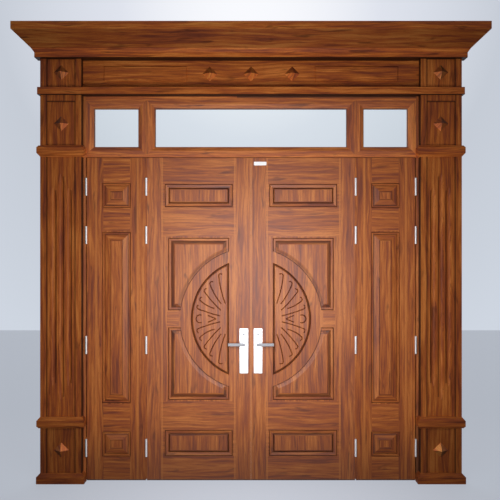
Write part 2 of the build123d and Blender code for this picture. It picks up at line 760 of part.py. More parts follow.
def inset_range(values, inset):
    return (values[0] + inset, values[1] - inset)


def rebate_inset():
    return SASH_RAIL - GLASS_COVER - GLASS_EDGE_CLEARANCE


def sash(x_range):
    """Fixed sash with a splayed front edge and a rebate for the glass at its back."""
    z_range = (SASH_Z, HEAD_Z)
    with BuildPart() as ring:
        block(x_range, (0, REBATE_DEPTH), z_range)
        with BuildSketch(wall_plane(0)) as mouth:
            draw_rectangle(
                sum(x_range) / 2,
                sum(z_range) / 2,
                x_range[1] - x_range[0] - 2 * SASH_FLAT,
                SASH_HEIGHT - 2 * SASH_FLAT,
            )
        splay = slope_angle(SASH_SPLAY, SPLAY_DEPTH)
        extrude(mouth.sketch, amount=-SPLAY_DEPTH, taper=splay, mode=Mode.SUBTRACT)
        block(
            inset_range(x_range, SASH_RAIL),
            (SPLAY_DEPTH, REBATE_DEPTH),
            inset_range(z_range, SASH_RAIL),
            Mode.SUBTRACT,
        )
        block(
            inset_range(x_range, rebate_inset()),
            (GLASS_DEPTH, REBATE_DEPTH),
            inset_range(z_range, rebate_inset()),
            Mode.SUBTRACT,
        )
    return ring.part


def pane(x_range):
    """Glass that lies against the land of its sash."""
    cover = SASH_RAIL - GLASS_COVER
    with BuildPart() as glass:
        block(
            inset_range(x_range, cover),
            (GLASS_DEPTH, GLASS_DEPTH + GLASS_THICKNESS),
            inset_range((SASH_Z, HEAD_Z), cover),
        )
    return glass.part


def glazing_bead(x_range):
    """Rectangular bead that holds the glass from behind."""
    depth_range = (GLASS_DEPTH + GLASS_THICKNESS, REBATE_DEPTH)
    with BuildPart() as bead:
        for inset, mode in ((rebate_inset(), Mode.ADD), (SASH_RAIL, Mode.SUBTRACT)):
            z_range = inset_range((SASH_Z, HEAD_Z), inset)
            block(inset_range(x_range, inset), depth_range, z_range, mode)
    return bead.part


# Pilasters and entablature, whose backs lie in the plane of the leaf faces


def moulding(x_range, sections):
    """Solid with a flat back that steps out by an overhang at each height."""
    with BuildPart() as solid:
        for overhang, height in sections:
            reach = PILASTER_DEPTH + overhang
            with BuildSketch(Plane.XY.offset(height)):
                with Locations((sum(x_range) / 2, FACE_Y - reach / 2)):
                    Rectangle(x_range[1] - x_range[0] + 2 * overhang, reach)
        loft(ruled=True)
    return solid.part


def collar_sections(foot_z, way):
    """Collar from its small step to its slope, upwards (way 1) or downwards (way -1)."""
    step_z = foot_z + way * MOULDING_STEP
    face_z = step_z + way * MOULDING_FACE
    sections = (
        (MOULDING_STEP_OVERHANG, foot_z),
        (MOULDING_STEP_OVERHANG, step_z - way * (MOULDING_OVERHANG - MOULDING_STEP_OVERHANG)),
        (MOULDING_OVERHANG, step_z),
        (MOULDING_OVERHANG, face_z),
        (0, face_z + way * MOULDING_SLOPE),
    )
    return sections[::way]


def pilaster_block(z_range, recess_range):
    """Boxed block with a recess down its front."""
    half = RECESS_WIDTH / 2
    with BuildPart() as body:
        block((PILASTER_X, PILASTER_OUTER_X), (-PILASTER_DEPTH, 0), z_range)
        block(
            (PILASTER_MID_X - half, PILASTER_MID_X + half),
            (-PILASTER_DEPTH, RECESS_DEPTH - PILASTER_DEPTH),
            recess_range,
            Mode.SUBTRACT,
        )
    return body.part


def shaft():
    """Pilaster shaft with three round flutes that run out to points."""
    floor_y = FACE_Y - PILASTER_DEPTH + RECESS_DEPTH
    axis_y = floor_y + FLUTE_DEPTH - FLUTE_RADIUS
    flutes = ((-1, SIDE_FLUTE_MARGIN), (0, CENTER_FLUTE_MARGIN), (1, SIDE_FLUTE_MARGIN))
    z_range = (SHAFT_Z, NECK_Z)
    with BuildPart() as body:
        add(pilaster_block(z_range, z_range))
        for place, margin in flutes:
            low, high = inset_range(z_range, margin)
            axis = Axis((PILASTER_MID_X + place * FLUTE_PITCH, axis_y, 0), (0, 0, 1))
            plane = Plane(axis.position, x_dir=(0, 1, 0), z_dir=(1, 0, 0))
            with BuildSketch(plane) as half_section:
                with BuildLine() as rim:
                    Polyline(
                        (0, low),
                        (FLUTE_RADIUS - FLUTE_DEPTH, low),
                        (FLUTE_RADIUS, low + FLUTE_TAPER),
                        (FLUTE_RADIUS, high - FLUTE_TAPER),
                        (FLUTE_RADIUS - FLUTE_DEPTH, high),
                        (0, high),
                        (0, low),
                    )
                make_face(rim.edges())
            revolve(half_section.sketch, axis=axis, mode=Mode.SUBTRACT)
    return body.part


def frieze_board():
    """Flat board between the frieze blocks with two raised tablets."""
    with BuildPart() as board:
        block((-PILASTER_X, PILASTER_X), (-FRIEZE_BOARD_THICKNESS, 0), (FRIEZE_Z, CORNICE_Z))
        with BuildSketch(wall_plane(-FRIEZE_BOARD_THICKNESS)) as tablets:
            for side in (1, -1):
                draw_rectangle(side * TABLET_X, FRIEZE_Z + FRIEZE_CENTER_RISE, TABLET_WIDTH, TABLET_HEIGHT)
        bevel = slope_angle(TABLET_BEVEL, TABLET_THICKNESS)
        extrude(tablets.sketch, amount=TABLET_THICKNESS, taper=bevel)
    return board.part


def stud_places():
    """Centres and seat depths of the pyramid studs on the right and in the middle."""
    recess_seat = RECESS_DEPTH - PILASTER_DEPTH
    capital_z = CAPITAL_Z + (CAPITAL_HEIGHT - CAPITAL_TOP_RAIL) / 2
    frieze_z = FRIEZE_Z + FRIEZE_CENTER_RISE
    return (
        (PILASTER_MID_X, PEDESTAL_Z + PEDESTAL_HEIGHT / 2, recess_seat),
        (PILASTER_MID_X, capital_z, recess_seat),
        (PILASTER_MID_X, frieze_z, recess_seat),
        (FRIEZE_STUD_PITCH, frieze_z, -FRIEZE_BOARD_THICKNESS),
    )


def pyramid_studs():
    """Diamond studs, each a pyramid on its corner."""
    side = STUD_DIAGONAL / sqrt(2)
    foot = (STUD_TIP_WIDTH - side) / 2
    center = (0, FRIEZE_Z + FRIEZE_CENTER_RISE, -FRIEZE_BOARD_THICKNESS)
    mirrored_places = [(-x, z, seat) for x, z, seat in stud_places()]
    with BuildPart() as studs:
        for x, z, seat in (*stud_places(), center, *mirrored_places):
            with Locations((x, FACE_Y + seat, z)):
                Wedge(
                    STUD_TIP_WIDTH,
                    STUD_HEIGHT,
                    STUD_TIP_WIDTH,
                    foot,
                    foot,
                    foot + side,
                    foot + side,
                    rotation=(0, STUD_TURN, 0),
                    align=(Align.CENTER, Align.MAX, Align.CENTER),
                )
    return studs.part


def cornice():
    """Crowning moulding that stands out to the front and to both sides."""
    step_z = CORNICE_Z + CORNICE_BED_FACE
    slope_z = step_z + CORNICE_STEP_SLOPE
    fascia_z = slope_z + CORNICE_SLOPE
    sections = (
        (CORNICE_BED_OVERHANG, CORNICE_Z),
        (CORNICE_BED_OVERHANG, step_z),
        (CORNICE_STEP_OVERHANG, slope_z),
        (CORNICE_OVERHANG, fascia_z),
        (CORNICE_OVERHANG, fascia_z + CORNICE_FASCIA),
    )
    return moulding((-PILASTER_OUTER_X, PILASTER_OUTER_X), sections)


# Handles and locks, drawn on the right main leaf


def handle_plate(depth_range, outside):
    """Long plate with rounded corners, a chamfered rim and holes for the lever and the key."""
    with BuildPart() as plate:
        with BuildSketch(wall_plane(depth_range[0])) as outline:
            with Locations((LEVER_X, PLATE_Z)):
                RectangleRounded(PLATE_WIDTH, PLATE_HEIGHT, PLATE_CORNER_RADIUS)
        extrude(outline.sketch, amount=-PLATE_THICKNESS)
        show_face = plate.faces().filter_by(Axis.Y).sort_by(Axis.Y)[0 if outside else -1]
        chamfer(show_face.edges(), PLATE_EDGE_CHAMFER)
        round_along_y(LEVER_X, LEVER_Z, depth_range, LEVER_RADIUS + LEVER_CLEARANCE, Mode.SUBTRACT)
        round_along_y(LEVER_X, KEY_Z, depth_range, KEY_RADIUS + KEY_CLEARANCE, Mode.SUBTRACT)
    return plate.part


def lever(root_depth, grip_depth):
    """Round neck with a flat bar that points away from the meeting line."""
    half_height = LEVER_BAR_HEIGHT / 2
    front = grip_depth - LEVER_BAR_THICKNESS / 2
    with BuildPart() as handle:
        with BuildSketch(wall_plane(front)) as bar:
            with Locations((LEVER_X + (LEVER_LENGTH - half_height) / 2, LEVER_Z)):
                RectangleRounded(LEVER_LENGTH + half_height, LEVER_BAR_HEIGHT, LEVER_END_RADIUS)
        extrude(bar.sketch, amount=-LEVER_BAR_THICKNESS)
        flat_faces = handle.faces().filter_by(Axis.Y)
        chamfer(flat_faces.edges(), LEVER_EDGE_CHAMFER)
        round_along_y(LEVER_X, LEVER_Z, sorted((root_depth, grip_depth)), LEVER_RADIUS)
    return handle.part


def outer_lever():
    """Outside lever with the square spindle that passes through the leaf."""
    root = -LEVER_CLEARANCE
    spindle_end = LEAF_THICKNESS + LEVER_CLEARANCE
    with BuildPart() as handle:
        add(lever(root, -LEVER_REACH))
        half = SPINDLE_WIDTH / 2
        block((LEVER_X - half, LEVER_X + half), (root, spindle_end), (LEVER_Z - half, LEVER_Z + half))
    return handle.part


def inner_lever():
    return lever(LEAF_THICKNESS + LEVER_CLEARANCE, LEAF_THICKNESS + LEVER_REACH)


def key_cylinder():
    """Round cylinder through the leaf and both plates, with a key slot outside."""
    front = -PLATE_THICKNESS - KEY_PROUD
    back = LEAF_THICKNESS + PLATE_THICKNESS + KEY_PROUD
    half_slot = KEY_SLOT_WIDTH / 2
    half_height = KEY_SLOT_HEIGHT / 2
    with BuildPart() as cylinder:
        round_along_y(LEVER_X, KEY_Z, (front, back), KEY_RADIUS)
        block(
            (LEVER_X - half_slot, LEVER_X + half_slot),
            (front, front + KEY_SLOT_DEPTH),
            (KEY_Z - half_height, KEY_Z + half_height),
            Mode.SUBTRACT,
        )
    return cylinder.part


def case_ranges(below, above, clearance):
    """Room of a lock case in the leaf's edge, widened by a clearance."""
    half = CASE_THICKNESS / 2 + clearance
    return (
        (MAIN_EDGE_X, MAIN_EDGE_X + CASE_DEPTH + clearance),
        (MID_DEPTH - half, MID_DEPTH + half),
        (LEVER_Z - below - clearance, LEVER_Z + above + clearance),
    )


def pocket(below, above):
    """Mortise for a lock case, open at the leaf's edge."""
    x_range, depth_range, z_range = case_ranges(below, above, CASE_CLEARANCE)
    block((x_range[0] - CUT_OVERRUN, x_range[1]), depth_range, z_range, Mode.SUBTRACT)


def lock_case():
    """Case of the active leaf, bored for three round bolts."""
    with BuildPart() as case:
        block(*case_ranges(LOCK_CASE_BELOW, LOCK_CASE_ABOVE, 0))
        spindle_and_key_holes()
        round_along_x(
            (MAIN_EDGE_X - CUT_OVERRUN, MAIN_EDGE_X + BOLT_REST_BACK + BOLT_LENGTH + BOLT_CLEARANCE),
            MID_DEPTH,
            BOLT_HEIGHTS,
            BOLT_RADIUS + BOLT_CLEARANCE,
            Mode.SUBTRACT,
        )
    return case.part


def lock_bolts():
    """Three round bolts, drawn back just inside the leaf's edge."""
    start = MAIN_EDGE_X + BOLT_REST_BACK
    with BuildPart() as bolts:
        round_along_x((start, start + BOLT_LENGTH), MID_DEPTH, BOLT_HEIGHTS, BOLT_RADIUS)
    return bolts.part


def rod_ranges():
    """Heights of the top and the bottom rod of the passive leaf, drawn back."""
    case_z = case_ranges(GEAR_CASE_BELOW, GEAR_CASE_ABOVE, 0)[2]
    return (
        (case_z[1] - ROD_IN_CASE, LEAF_TOP_Z - ROD_REST_BACK),
        (FLOOR_GAP + ROD_REST_BACK, case_z[0] + ROD_IN_CASE),
    )


def rod_bores():
    """Bores for both rods, through the stile and into the gear case."""
    top, bottom = rod_ranges()
    bore_radius = ROD_RADIUS + ROD_CLEARANCE
    top_end = LEAF_TOP_Z + CUT_OVERRUN
    bottom_end = FLOOR_GAP - CUT_OVERRUN
    round_along_z(LEVER_X, MID_DEPTH, (top[0] - ROD_CLEARANCE, top_end), bore_radius, Mode.SUBTRACT)
    round_along_z(LEVER_X, MID_DEPTH, (bottom_end, bottom[1] + ROD_CLEARANCE), bore_radius, Mode.SUBTRACT)


def gear_case():
    """Case of the passive leaf that drives the two rods."""
    with BuildPart() as case:
        block(*case_ranges(GEAR_CASE_BELOW, GEAR_CASE_ABOVE, 0))
        spindle_and_key_holes()
        rod_bores()
    return case.part


def rod(z_range):
    with BuildPart() as bar:
        round_along_z(LEVER_X, MID_DEPTH, z_range, ROD_RADIUS)
    return bar.part


def strike_ranges():
    half = CASE_THICKNESS / 2
    z_range = (min(BOLT_HEIGHTS) - STRIKE_END, max(BOLT_HEIGHTS) + STRIKE_END)
    return ((MAIN_EDGE_X, MAIN_EDGE_X + STRIKE_THICKNESS), (MID_DEPTH - half, MID_DEPTH + half), z_range)


def strike_plate():
    """Plate let into the passive leaf's edge, with a hole for each bolt."""
    x_range, depth_range, z_range = strike_ranges()
    with BuildPart() as plate:
        block(x_range, depth_range, z_range)
        through = inset_range(x_range, -CUT_OVERRUN)
        round_along_x(through, MID_DEPTH, BOLT_HEIGHTS, STRIKE_RADIUS, Mode.SUBTRACT)
    return plate.part


def active_main_leaf(blank):
    """Right main leaf, with the mortise for its lock."""
    with BuildPart() as leaf:
        add(blank)
        pocket(LOCK_CASE_BELOW, LOCK_CASE_ABOVE)
    return leaf.part


def passive_main_leaf(blank):
    """Left main leaf, drawn on the right, with its gear case, rods, strike plate and bolt sockets."""
    x_range, depth_range, z_range = strike_ranges()
    bolt_room = (MAIN_EDGE_X, MAIN_EDGE_X + STRIKE_DEPTH)
    with BuildPart() as leaf:
        add(blank)
        pocket(GEAR_CASE_BELOW, GEAR_CASE_ABOVE)
        rod_bores()
        block((x_range[0] - CUT_OVERRUN, x_range[1]), depth_range, z_range, Mode.SUBTRACT)
        round_along_x(bolt_room, MID_DEPTH, BOLT_HEIGHTS, STRIKE_RADIUS, Mode.SUBTRACT)
    return leaf.part


def band():
    """Straight band over the capitals and the head of the frame."""
    reach = PILASTER_OUTER_X + BAND_OVERHANG
    with BuildPart() as bar:
        block((-reach, reach), (-PILASTER_DEPTH - BAND_OVERHANG, 0), (BAND_Z, FRIEZE_Z))
    return bar.part


# Frame, transom lights and seal
keep_pair("jamb", jamb())
nodes["head_jamb"] = head_jamb()
nodes["transom_bar"] = transom_bar()
nodes["mullions"] = both_sides(mullion())
keep_pair("sash", sash(SIDE_SASH_X))
nodes["center_sash"] = sash(CENTER_SASH_X)
keep_pair("pane", pane(SIDE_SASH_X))
nodes["center_pane"] = pane(CENTER_SASH_X)
with BuildPart() as glazing_beads:
    add(both_sides(glazing_bead(SIDE_SASH_X)))
    add(glazing_bead(CENTER_SASH_X))
nodes["glazing_beads"] = glazing_beads.part
nodes["frame_seal"] = frame_seal()

# Surround
pilaster_range = (PILASTER_X, PILASTER_OUTER_X)
plinth_sections = ((PLINTH_OVERHANG, 0), (PLINTH_OVERHANG, PLINTH_HEIGHT), (0, PEDESTAL_Z))
pedestal_range = (PEDESTAL_Z, CAP_Z)
capital_range = (CAPITAL_Z, BAND_Z)
frieze_range = (FRIEZE_Z, CORNICE_Z)
nodes["plinths"] = both_sides(moulding(pilaster_range, plinth_sections))
nodes["pedestals"] = both_sides(pilaster_block(pedestal_range, pedestal_range))
keep_pair("shaft", shaft())
with BuildPart() as collars:
    add(both_sides(moulding(pilaster_range, collar_sections(CAP_Z, 1))))
    add(both_sides(moulding(pilaster_range, collar_sections(CAPITAL_Z, -1))))
nodes["pilaster_collars"] = collars.part
nodes["capitals"] = both_sides(pilaster_block(capital_range, (CAPITAL_Z, BAND_Z - CAPITAL_TOP_RAIL)))
nodes["architrave_band"] = band()
nodes["frieze_blocks"] = both_sides(pilaster_block(frieze_range, frieze_range))
nodes["frieze_board"] = frieze_board()
nodes["pyramid_studs"] = pyramid_studs()
nodes["cornice"] = cornice()

# Hinges
nodes["frame_hinge_wings"] = both_sides(hinge_wings(OUTER_AXIS_X, 1))
nodes["outer_hinge_pins"] = both_sides(hinge_pins(OUTER_AXIS_X))
keep_pair("side_leaf_outer_wings", hinge_wings(OUTER_AXIS_X, -1))
keep_pair("side_leaf_inner_wings", hinge_wings(INNER_AXIS_X, 1))
keep_pair("inner_hinge_pins", hinge_pins(INNER_AXIS_X))
keep_pair("main_leaf_wings", hinge_wings(INNER_AXIS_X, -1))

# Side leaves
top_bolt_ends, bottom_bolt_ends = flush_bolt_ends()
keep_pair("side_leaf", side_leaf())
keep_pair("side_leaf_stop", leaf_stop())
keep_pair("side_top_bolt", flush_bolt(*top_bolt_ends))
keep_pair("side_bottom_bolt", flush_bolt(*bottom_bolt_ends))

# Main leaves, handles and locks
leaf_blank = main_leaf_blank()
top_rod_range, bottom_rod_range = rod_ranges()
nodes["right_main_leaf"] = active_main_leaf(leaf_blank)
nodes["left_main_leaf"] = mirrored(passive_main_leaf(leaf_blank))
inner_plate_range = (LEAF_THICKNESS, LEAF_THICKNESS + PLATE_THICKNESS)
keep_pair("outer_plate", handle_plate((-PLATE_THICKNESS, 0), outside=True))
keep_pair("inner_plate", handle_plate(inner_plate_range, outside=False))
keep_pair("outer_lever", outer_lever())
keep_pair("inner_lever", inner_lever())
keep_pair("key_cylinder", key_cylinder())
nodes["right_lock_case"] = lock_case()
nodes["right_lock_bolts"] = lock_bolts()
nodes["left_gear_case"] = mirrored(gear_case())
nodes["left_top_rod"] = mirrored(rod(top_rod_range))
nodes["left_bottom_rod"] = mirrored(rod(bottom_rod_range))
nodes["left_strike_plate"] = mirrored(strike_plate())

for name, part in nodes.items():
    part.label = name
    export_step(part, f"parts/{name}.step")
print(len(nodes), "nodes")
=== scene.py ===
"""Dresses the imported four-leaf steel door with its wood print, steel, glass, fittings and studio."""
import logging
import math
from dataclasses import dataclass, replace
from enum import Enum
from typing import Iterable, Optional, Sequence, Union

import bmesh
import bpy
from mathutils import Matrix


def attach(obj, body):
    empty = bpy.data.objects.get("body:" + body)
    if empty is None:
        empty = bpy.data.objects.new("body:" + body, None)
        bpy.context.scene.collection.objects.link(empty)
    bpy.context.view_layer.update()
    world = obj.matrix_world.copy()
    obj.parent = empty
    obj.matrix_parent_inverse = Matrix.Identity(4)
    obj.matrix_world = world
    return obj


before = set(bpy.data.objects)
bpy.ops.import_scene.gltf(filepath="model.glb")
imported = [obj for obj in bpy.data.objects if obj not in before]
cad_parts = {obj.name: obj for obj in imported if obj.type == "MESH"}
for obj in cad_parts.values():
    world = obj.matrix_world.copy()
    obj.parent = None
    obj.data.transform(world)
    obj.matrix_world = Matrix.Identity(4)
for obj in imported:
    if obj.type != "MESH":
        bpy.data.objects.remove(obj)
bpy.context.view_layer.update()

log = logging.getLogger("door")

Socket = bpy.types.NodeSocket
Number = Union[float, Socket]
Triple = tuple[float, float, float]
Colour = tuple[float, float, float]
Paint = Union[Colour, Socket]
Pair = tuple[float, float]

FAN_HEIGHT = 1.152
LEAF_FRONT = 0.0485
LEAF_BACK = 0.0985
LEAF_MIDDLE = 0.0735
MAIN_SPAN = (0.003, 0.742)
SIDE_SPAN = (0.748, 1.170)
EDGE_ANGLE = 35.0


class Grain(Enum):
    """Which way the printed grain of a board runs."""

    UPRIGHT = 0.0
    LEVEL = 1.0


class Run(Enum):
    """Which way a line of painted shade runs across the door's face."""

    UPRIGHT = "side"
    LEVEL = "up"


class Side(Enum):
    """The two mirrored halves of the door, with the sign of their X."""

    LEFT = -1
    RIGHT = 1

    @property
    def word(self) -> str:
        """The word that the CAD names use for this half."""
        return self.name.lower()


class Nodes:
    """A tree of shader nodes, built by plain calls."""

    def __init__(self, tree: bpy.types.NodeTree) -> None:
        """Empties the tree that is to be filled."""
        self.tree = tree
        self.tree.nodes.clear()

    def add(self, kind: str, **settings: object) -> bpy.types.Node:
        """Adds a node and sets its properties.

        Args:
            kind: Blender's node type.
            settings: Property values by name.

        Returns:
            The new node.
        """
        node = self.tree.nodes.new(kind)
        for key, value in settings.items():
            setattr(node, key, value)
        return node

    def link(self, start: Socket, end: Socket) -> None:
        """Joins an output to an input."""
        self.tree.links.new(start, end)

    def feed(self, end: Socket, value: object) -> None:
        """Links a socket into an input, or sets the input to a plain value."""
        if isinstance(value, Socket):
            self.link(value, end)
        else:
            end.default_value = value

    def calc(self, operation: str, first: Number, second: Number = 0.0,
             third: Number = 0.0) -> Socket:
        """One Math node.

        Args:
            operation: Blender's name of the operation.
            first: First value.
            second: Second value.
            third: Third value, where the operation has one.

        Returns:
            The result's socket.
        """
        node = self.add("ShaderNodeMath", operation=operation)
        for end, value in zip(node.inputs, (first, second, third)):
            self.feed(end, value)
        return node.outputs[0]

    def ramp(self, value: Number, stops: Sequence[tuple[float, Colour]]) -> Socket:
        """A colour ramp.

        Args:
            value: Where to read the ramp.
            stops: Places and linear colours, in order.

        Returns:
            The colour's socket.
        """
        node = self.add("ShaderNodeValToRGB")
        bar = node.color_ramp.elements
        for index, (where, colour) in enumerate(stops):
            stop = bar[index] if index < 2 else bar.new(where)
            stop.position = where
            stop.color = (*colour, 1.0)
        self.feed(node.inputs[0], value)
        return node.outputs[0]


class Graph(Nodes):
    """The nodes of one material, round its main shader."""

    def __init__(self, name: str) -> None:
        """Starts an empty material of that name."""
        self.material = bpy.data.materials.new(name)
        self.material.use_nodes = True
        super().__init__(self.material.node_tree)
        output = self.add("ShaderNodeOutputMaterial")
        self.shader = self.add("ShaderNodeBsdfPrincipled")
        self.link(self.shader.outputs["BSDF"], output.inputs["Surface"])
        self._place: Optional[tuple[Socket, ...]] = None

    def surface(self, name: str, value: object) -> None:
        """Links a socket into an input of the main shader, or sets it to a plain value."""
        self.feed(self.shader.inputs[name], value)

    def place(self) -> tuple[Socket, ...]:
        """X, Y and Z of the surface in the rest frame, in metres."""
        if self._place is None:
            where = self.add("ShaderNodeTexCoord")
            split = self.add("ShaderNodeSeparateXYZ")
            self.link(where.outputs["Object"], split.inputs[0])
            self._place = tuple(split.outputs)
        return self._place

    def pick(self, mask: Number, off: Number, on: Number) -> Socket:
        """The value off where mask is 0 and on where it is 1."""
        node = self.add("ShaderNodeMix", data_type="FLOAT")
        self.feed(node.inputs[0], mask)
        self.feed(node.inputs[2], off)
        self.feed(node.inputs[3], on)
        return node.outputs[0]

    def inside(self, value: Number, middle: float, half: float) -> Socket:
        """1 where value lies within half of middle, else 0."""
        return self.calc("COMPARE", value, middle, half)

    def between(self, value: Number, low: float, high: float) -> Socket:
        """1 where value lies from low to high, else 0."""
        return self.inside(value, (low + high) / 2, (high - low) / 2)

    def both(self, first: Number, second: Number) -> Socket:
        """1 where both masks are 1."""
        return self.calc("MULTIPLY", first, second)

    def soft_band(self, value: Number, middle: float, half: float) -> Socket:
        """A smooth hump of height 1 at middle that ends half away on both sides."""
        away = self.calc("ABSOLUTE", self.calc("SUBTRACT", value, middle))
        node = self.add("ShaderNodeMapRange", interpolation_type="SMOOTHSTEP")
        self.feed(node.inputs[0], away)
        node.inputs[1].default_value = half
        node.inputs[2].default_value = 0.0
        return node.outputs[0]

    def reach(self, side: Number, up: Number) -> Socket:
        """Distance from the middle of the fan, which lies on the middle line of the door."""
        rise = self.calc("SUBTRACT", up, FAN_HEIGHT)
        return self.calc("SQRT", self.calc("MULTIPLY_ADD", rise, rise, self.calc("MULTIPLY", side, side)))

    def streaks(self, along: Number, across: Number, seed: Number, stretch: Pair,
                detail: float = 3.0, roughness: float = 0.55, warp: float = 0.0) -> Socket:
        """Noise drawn out along the grain.

        Args:
            along: Place along the grain, in metres.
            across: Place across the grain, in metres.
            seed: Number that tells boards apart.
            stretch: Waves per metre along and across.
            detail: Octaves of the noise.
            roughness: Weight of the finer octaves.
            warp: Distortion of the noise.

        Returns:
            A value near 0.5, from 0 to 1.
        """
        point = self.add("ShaderNodeCombineXYZ")
        self.link(self.calc("MULTIPLY", along, stretch[0]), point.inputs[0])
        self.link(self.calc("MULTIPLY", across, stretch[1]), point.inputs[1])
        self.feed(point.inputs[2], seed)
        noise = self.add("ShaderNodeTexNoise", noise_dimensions="3D")
        self.link(point.outputs[0], noise.inputs["Vector"])
        noise.inputs["Scale"].default_value = 1.0
        noise.inputs["Detail"].default_value = detail
        noise.inputs["Roughness"].default_value = roughness
        noise.inputs["Distortion"].default_value = warp
        return noise.outputs[0]

    def tint(self, mask: Number, base: Paint, top: Colour) -> Socket:
        """Lays one colour over another by a mask.

        Args:
            mask: Strength of the top colour, from 0 to 1.
            base: Colour below.
            top: Colour above.

        Returns:
            The colour's socket.
        """
        node = self.add("ShaderNodeMix", data_type="RGBA")
        self.feed(node.inputs[0], mask)
        self.feed(node.inputs[6], base if isinstance(base, Socket) else (*base, 1.0))
        self.feed(node.inputs[7], (*top, 1.0))
        return node.outputs[2]

    def rub(self, value: Number, low: float, high: float) -> Socket:
        """Maps a value from 0 to 1 onto low to high."""
        node = self.add("ShaderNodeMapRange")
        self.feed(node.inputs[0], value)
        node.inputs[3].default_value = low
        node.inputs[4].default_value = high
        return node.outputs[0]

    def bump(self, height: Number, distance: float, strength: float) -> None:
        """Feeds a height into the shader's normal."""
        node = self.add("ShaderNodeBump")
        node.inputs["Strength"].default_value = strength
        node.inputs["Distance"].default_value = distance
        self.feed(node.inputs["Height"], height)
        self.link(node.outputs[0], self.shader.inputs["Normal"])


class Patch:
    """A part of a piece's face that has a grain of its own."""

    def draw(self, graph: Graph, side: Number, up: Number, level: Number,
             seed: Number) -> tuple[Number, Number]:
        """Lays the patch over the grain direction and seed so far.

        Args:
            graph: The material's nodes.
            side: Distance from the middle of the door.
            up: Height over the floor.
            level: Grain direction so far, 1 for level.
            seed: Seed so far.

        Returns:
            The new grain direction and seed.
        """
        raise NotImplementedError


class Mark:
    """A part of a piece's face whose colour is painted darker or paler: a pale streak of the print, or painted
    shade.
    """

    def mask(self, graph: Graph, side: Number, up: Number) -> Socket:
        """Strength of the mark at a place on the surface.

        Args:
            graph: The material's nodes.
            side: Distance from the middle of the door.
            up: Height over the floor.

        Returns:
            A value from 0 to the mark's full strength.
        """
        raise NotImplementedError


@dataclass(frozen=True)
class Board(Patch):
    """A rectangle of one grain direction on a leaf, by distance from the middle of the door."""

    near: float
    far: float
    low: float
    high: float
    grain: Grain
    seed: float

    def draw(self, graph: Graph, side: Number, up: Number, level: Number,
             seed: Number) -> tuple[Number, Number]:
        """Lays the board over the grain direction and seed so far."""
        mask = graph.both(graph.between(side, self.near, self.far), graph.between(up, self.low, self.high))
        return graph.pick(mask, level, self.grain.value), graph.pick(mask, seed, self.seed)


@dataclass(frozen=True)
class Moulding(Patch):
    """A mitred border round a rectangle, with an upright field inside, cut off by the ring of the fan."""

    middle: Pair
    half: Pair
    border: float
    seed: float
    ring: float = 0.0
    bar_shift: float = 3.1
    far_shift: float = 1.7

    def draw(self, graph: Graph, side: Number, up: Number, level: Number,
             seed: Number) -> tuple[Number, Number]:
        """Lays the mitred bars and the field over the grain direction and seed so far."""
        off_side = graph.calc("SUBTRACT", side, self.middle[0])
        off_up = graph.calc("SUBTRACT", up, self.middle[1])
        to_side = graph.calc("SUBTRACT", self.half[0], graph.calc("ABSOLUTE", off_side))
        to_end = graph.calc("SUBTRACT", self.half[1], graph.calc("ABSOLUTE", off_up))
        nearest = graph.calc("MINIMUM", to_side, to_end)
        mask = graph.calc("GREATER_THAN", nearest, 0.0)
        if self.ring:
            reach = graph.reach(side, up)
            mask = graph.both(mask, graph.calc("GREATER_THAN", reach, self.ring))
        in_bar = graph.calc("LESS_THAN", nearest, self.border)
        level_bar = graph.both(in_bar, graph.calc("LESS_THAN", to_end, to_side))
        far_bar = graph.calc("GREATER_THAN", graph.pick(level_bar, off_side, off_up), 0.0)
        bar_seed = graph.calc("MULTIPLY_ADD", far_bar, self.far_shift, self.seed + self.bar_shift)
        own_seed = graph.pick(in_bar, self.seed, bar_seed)
        return graph.pick(mask, level, level_bar), graph.pick(mask, seed, own_seed)


@dataclass(frozen=True)
class Glow(Mark):
    """A pale upright streak of the print at the joint of a stile."""

    middle: float
    half: float
    low: float = 0.0
    high: float = 2.4

    def mask(self, graph: Graph, side: Number, up: Number) -> Socket:
        """Strength of the streak."""
        band = graph.soft_band(side, self.middle, self.half)
        return graph.both(band, graph.between(up, self.low, self.high))


@dataclass(frozen=True)
class Crease(Mark):
    """Painted shade along a band of the sheet: a fold, return, soffit, slope or stud facet that gets less
    light.
    """

    run: Run
    at: float
    half: float
    low: float = -0.1
    high: float = 3.3
    painted_shade: float = 0.75
    soft: bool = True

    def mask(self, graph: Graph, side: Number, up: Number) -> Socket:
        """Painted shade along the band."""
        across, along = (side, up) if self.run is Run.UPRIGHT else (up, side)
        line = (graph.soft_band if self.soft else graph.inside)(across, self.at, self.half)
        held = graph.between(along, self.low, self.high)
        return graph.calc("MULTIPLY", graph.both(line, held), self.painted_shade)


@dataclass(frozen=True)
class Rim(Mark):
    """Painted shade along the pressed line round a panel, cut off by the ring of the fan where that crosses
    it.
    """

    middle: Pair
    half: Pair
    inset: float = 0.003
    width: float = 0.0055
    ring: float = 0.0
    painted_shade: float = 0.52
    # Whether the painted shade also runs along the ring's arc; the lower panels leave it off, where the arc
    # faces the lamp.
    arc: bool = True

    def mask(self, graph: Graph, side: Number, up: Number) -> Socket:
        """Painted shade along the line."""
        off_side = graph.calc("ABSOLUTE", graph.calc("SUBTRACT", side, self.middle[0]))
        off_up = graph.calc("ABSOLUTE", graph.calc("SUBTRACT", up, self.middle[1]))
        nearest = graph.calc("MINIMUM", graph.calc("SUBTRACT", self.half[0], off_side),
                             graph.calc("SUBTRACT", self.half[1], off_up))
        line = graph.soft_band(nearest, self.inset, self.width)
        if self.ring:
            reach = graph.reach(side, up)
            outside = graph.calc("GREATER_THAN", reach, self.ring)
            line = graph.both(line, outside)
            if self.arc:
                arc = graph.soft_band(reach, self.ring, self.width)
                line = graph.calc("MAXIMUM", line, graph.both(arc, graph.calc("GREATER_THAN", nearest, 0.0)))
        return graph.calc("MULTIPLY", line, self.painted_shade)


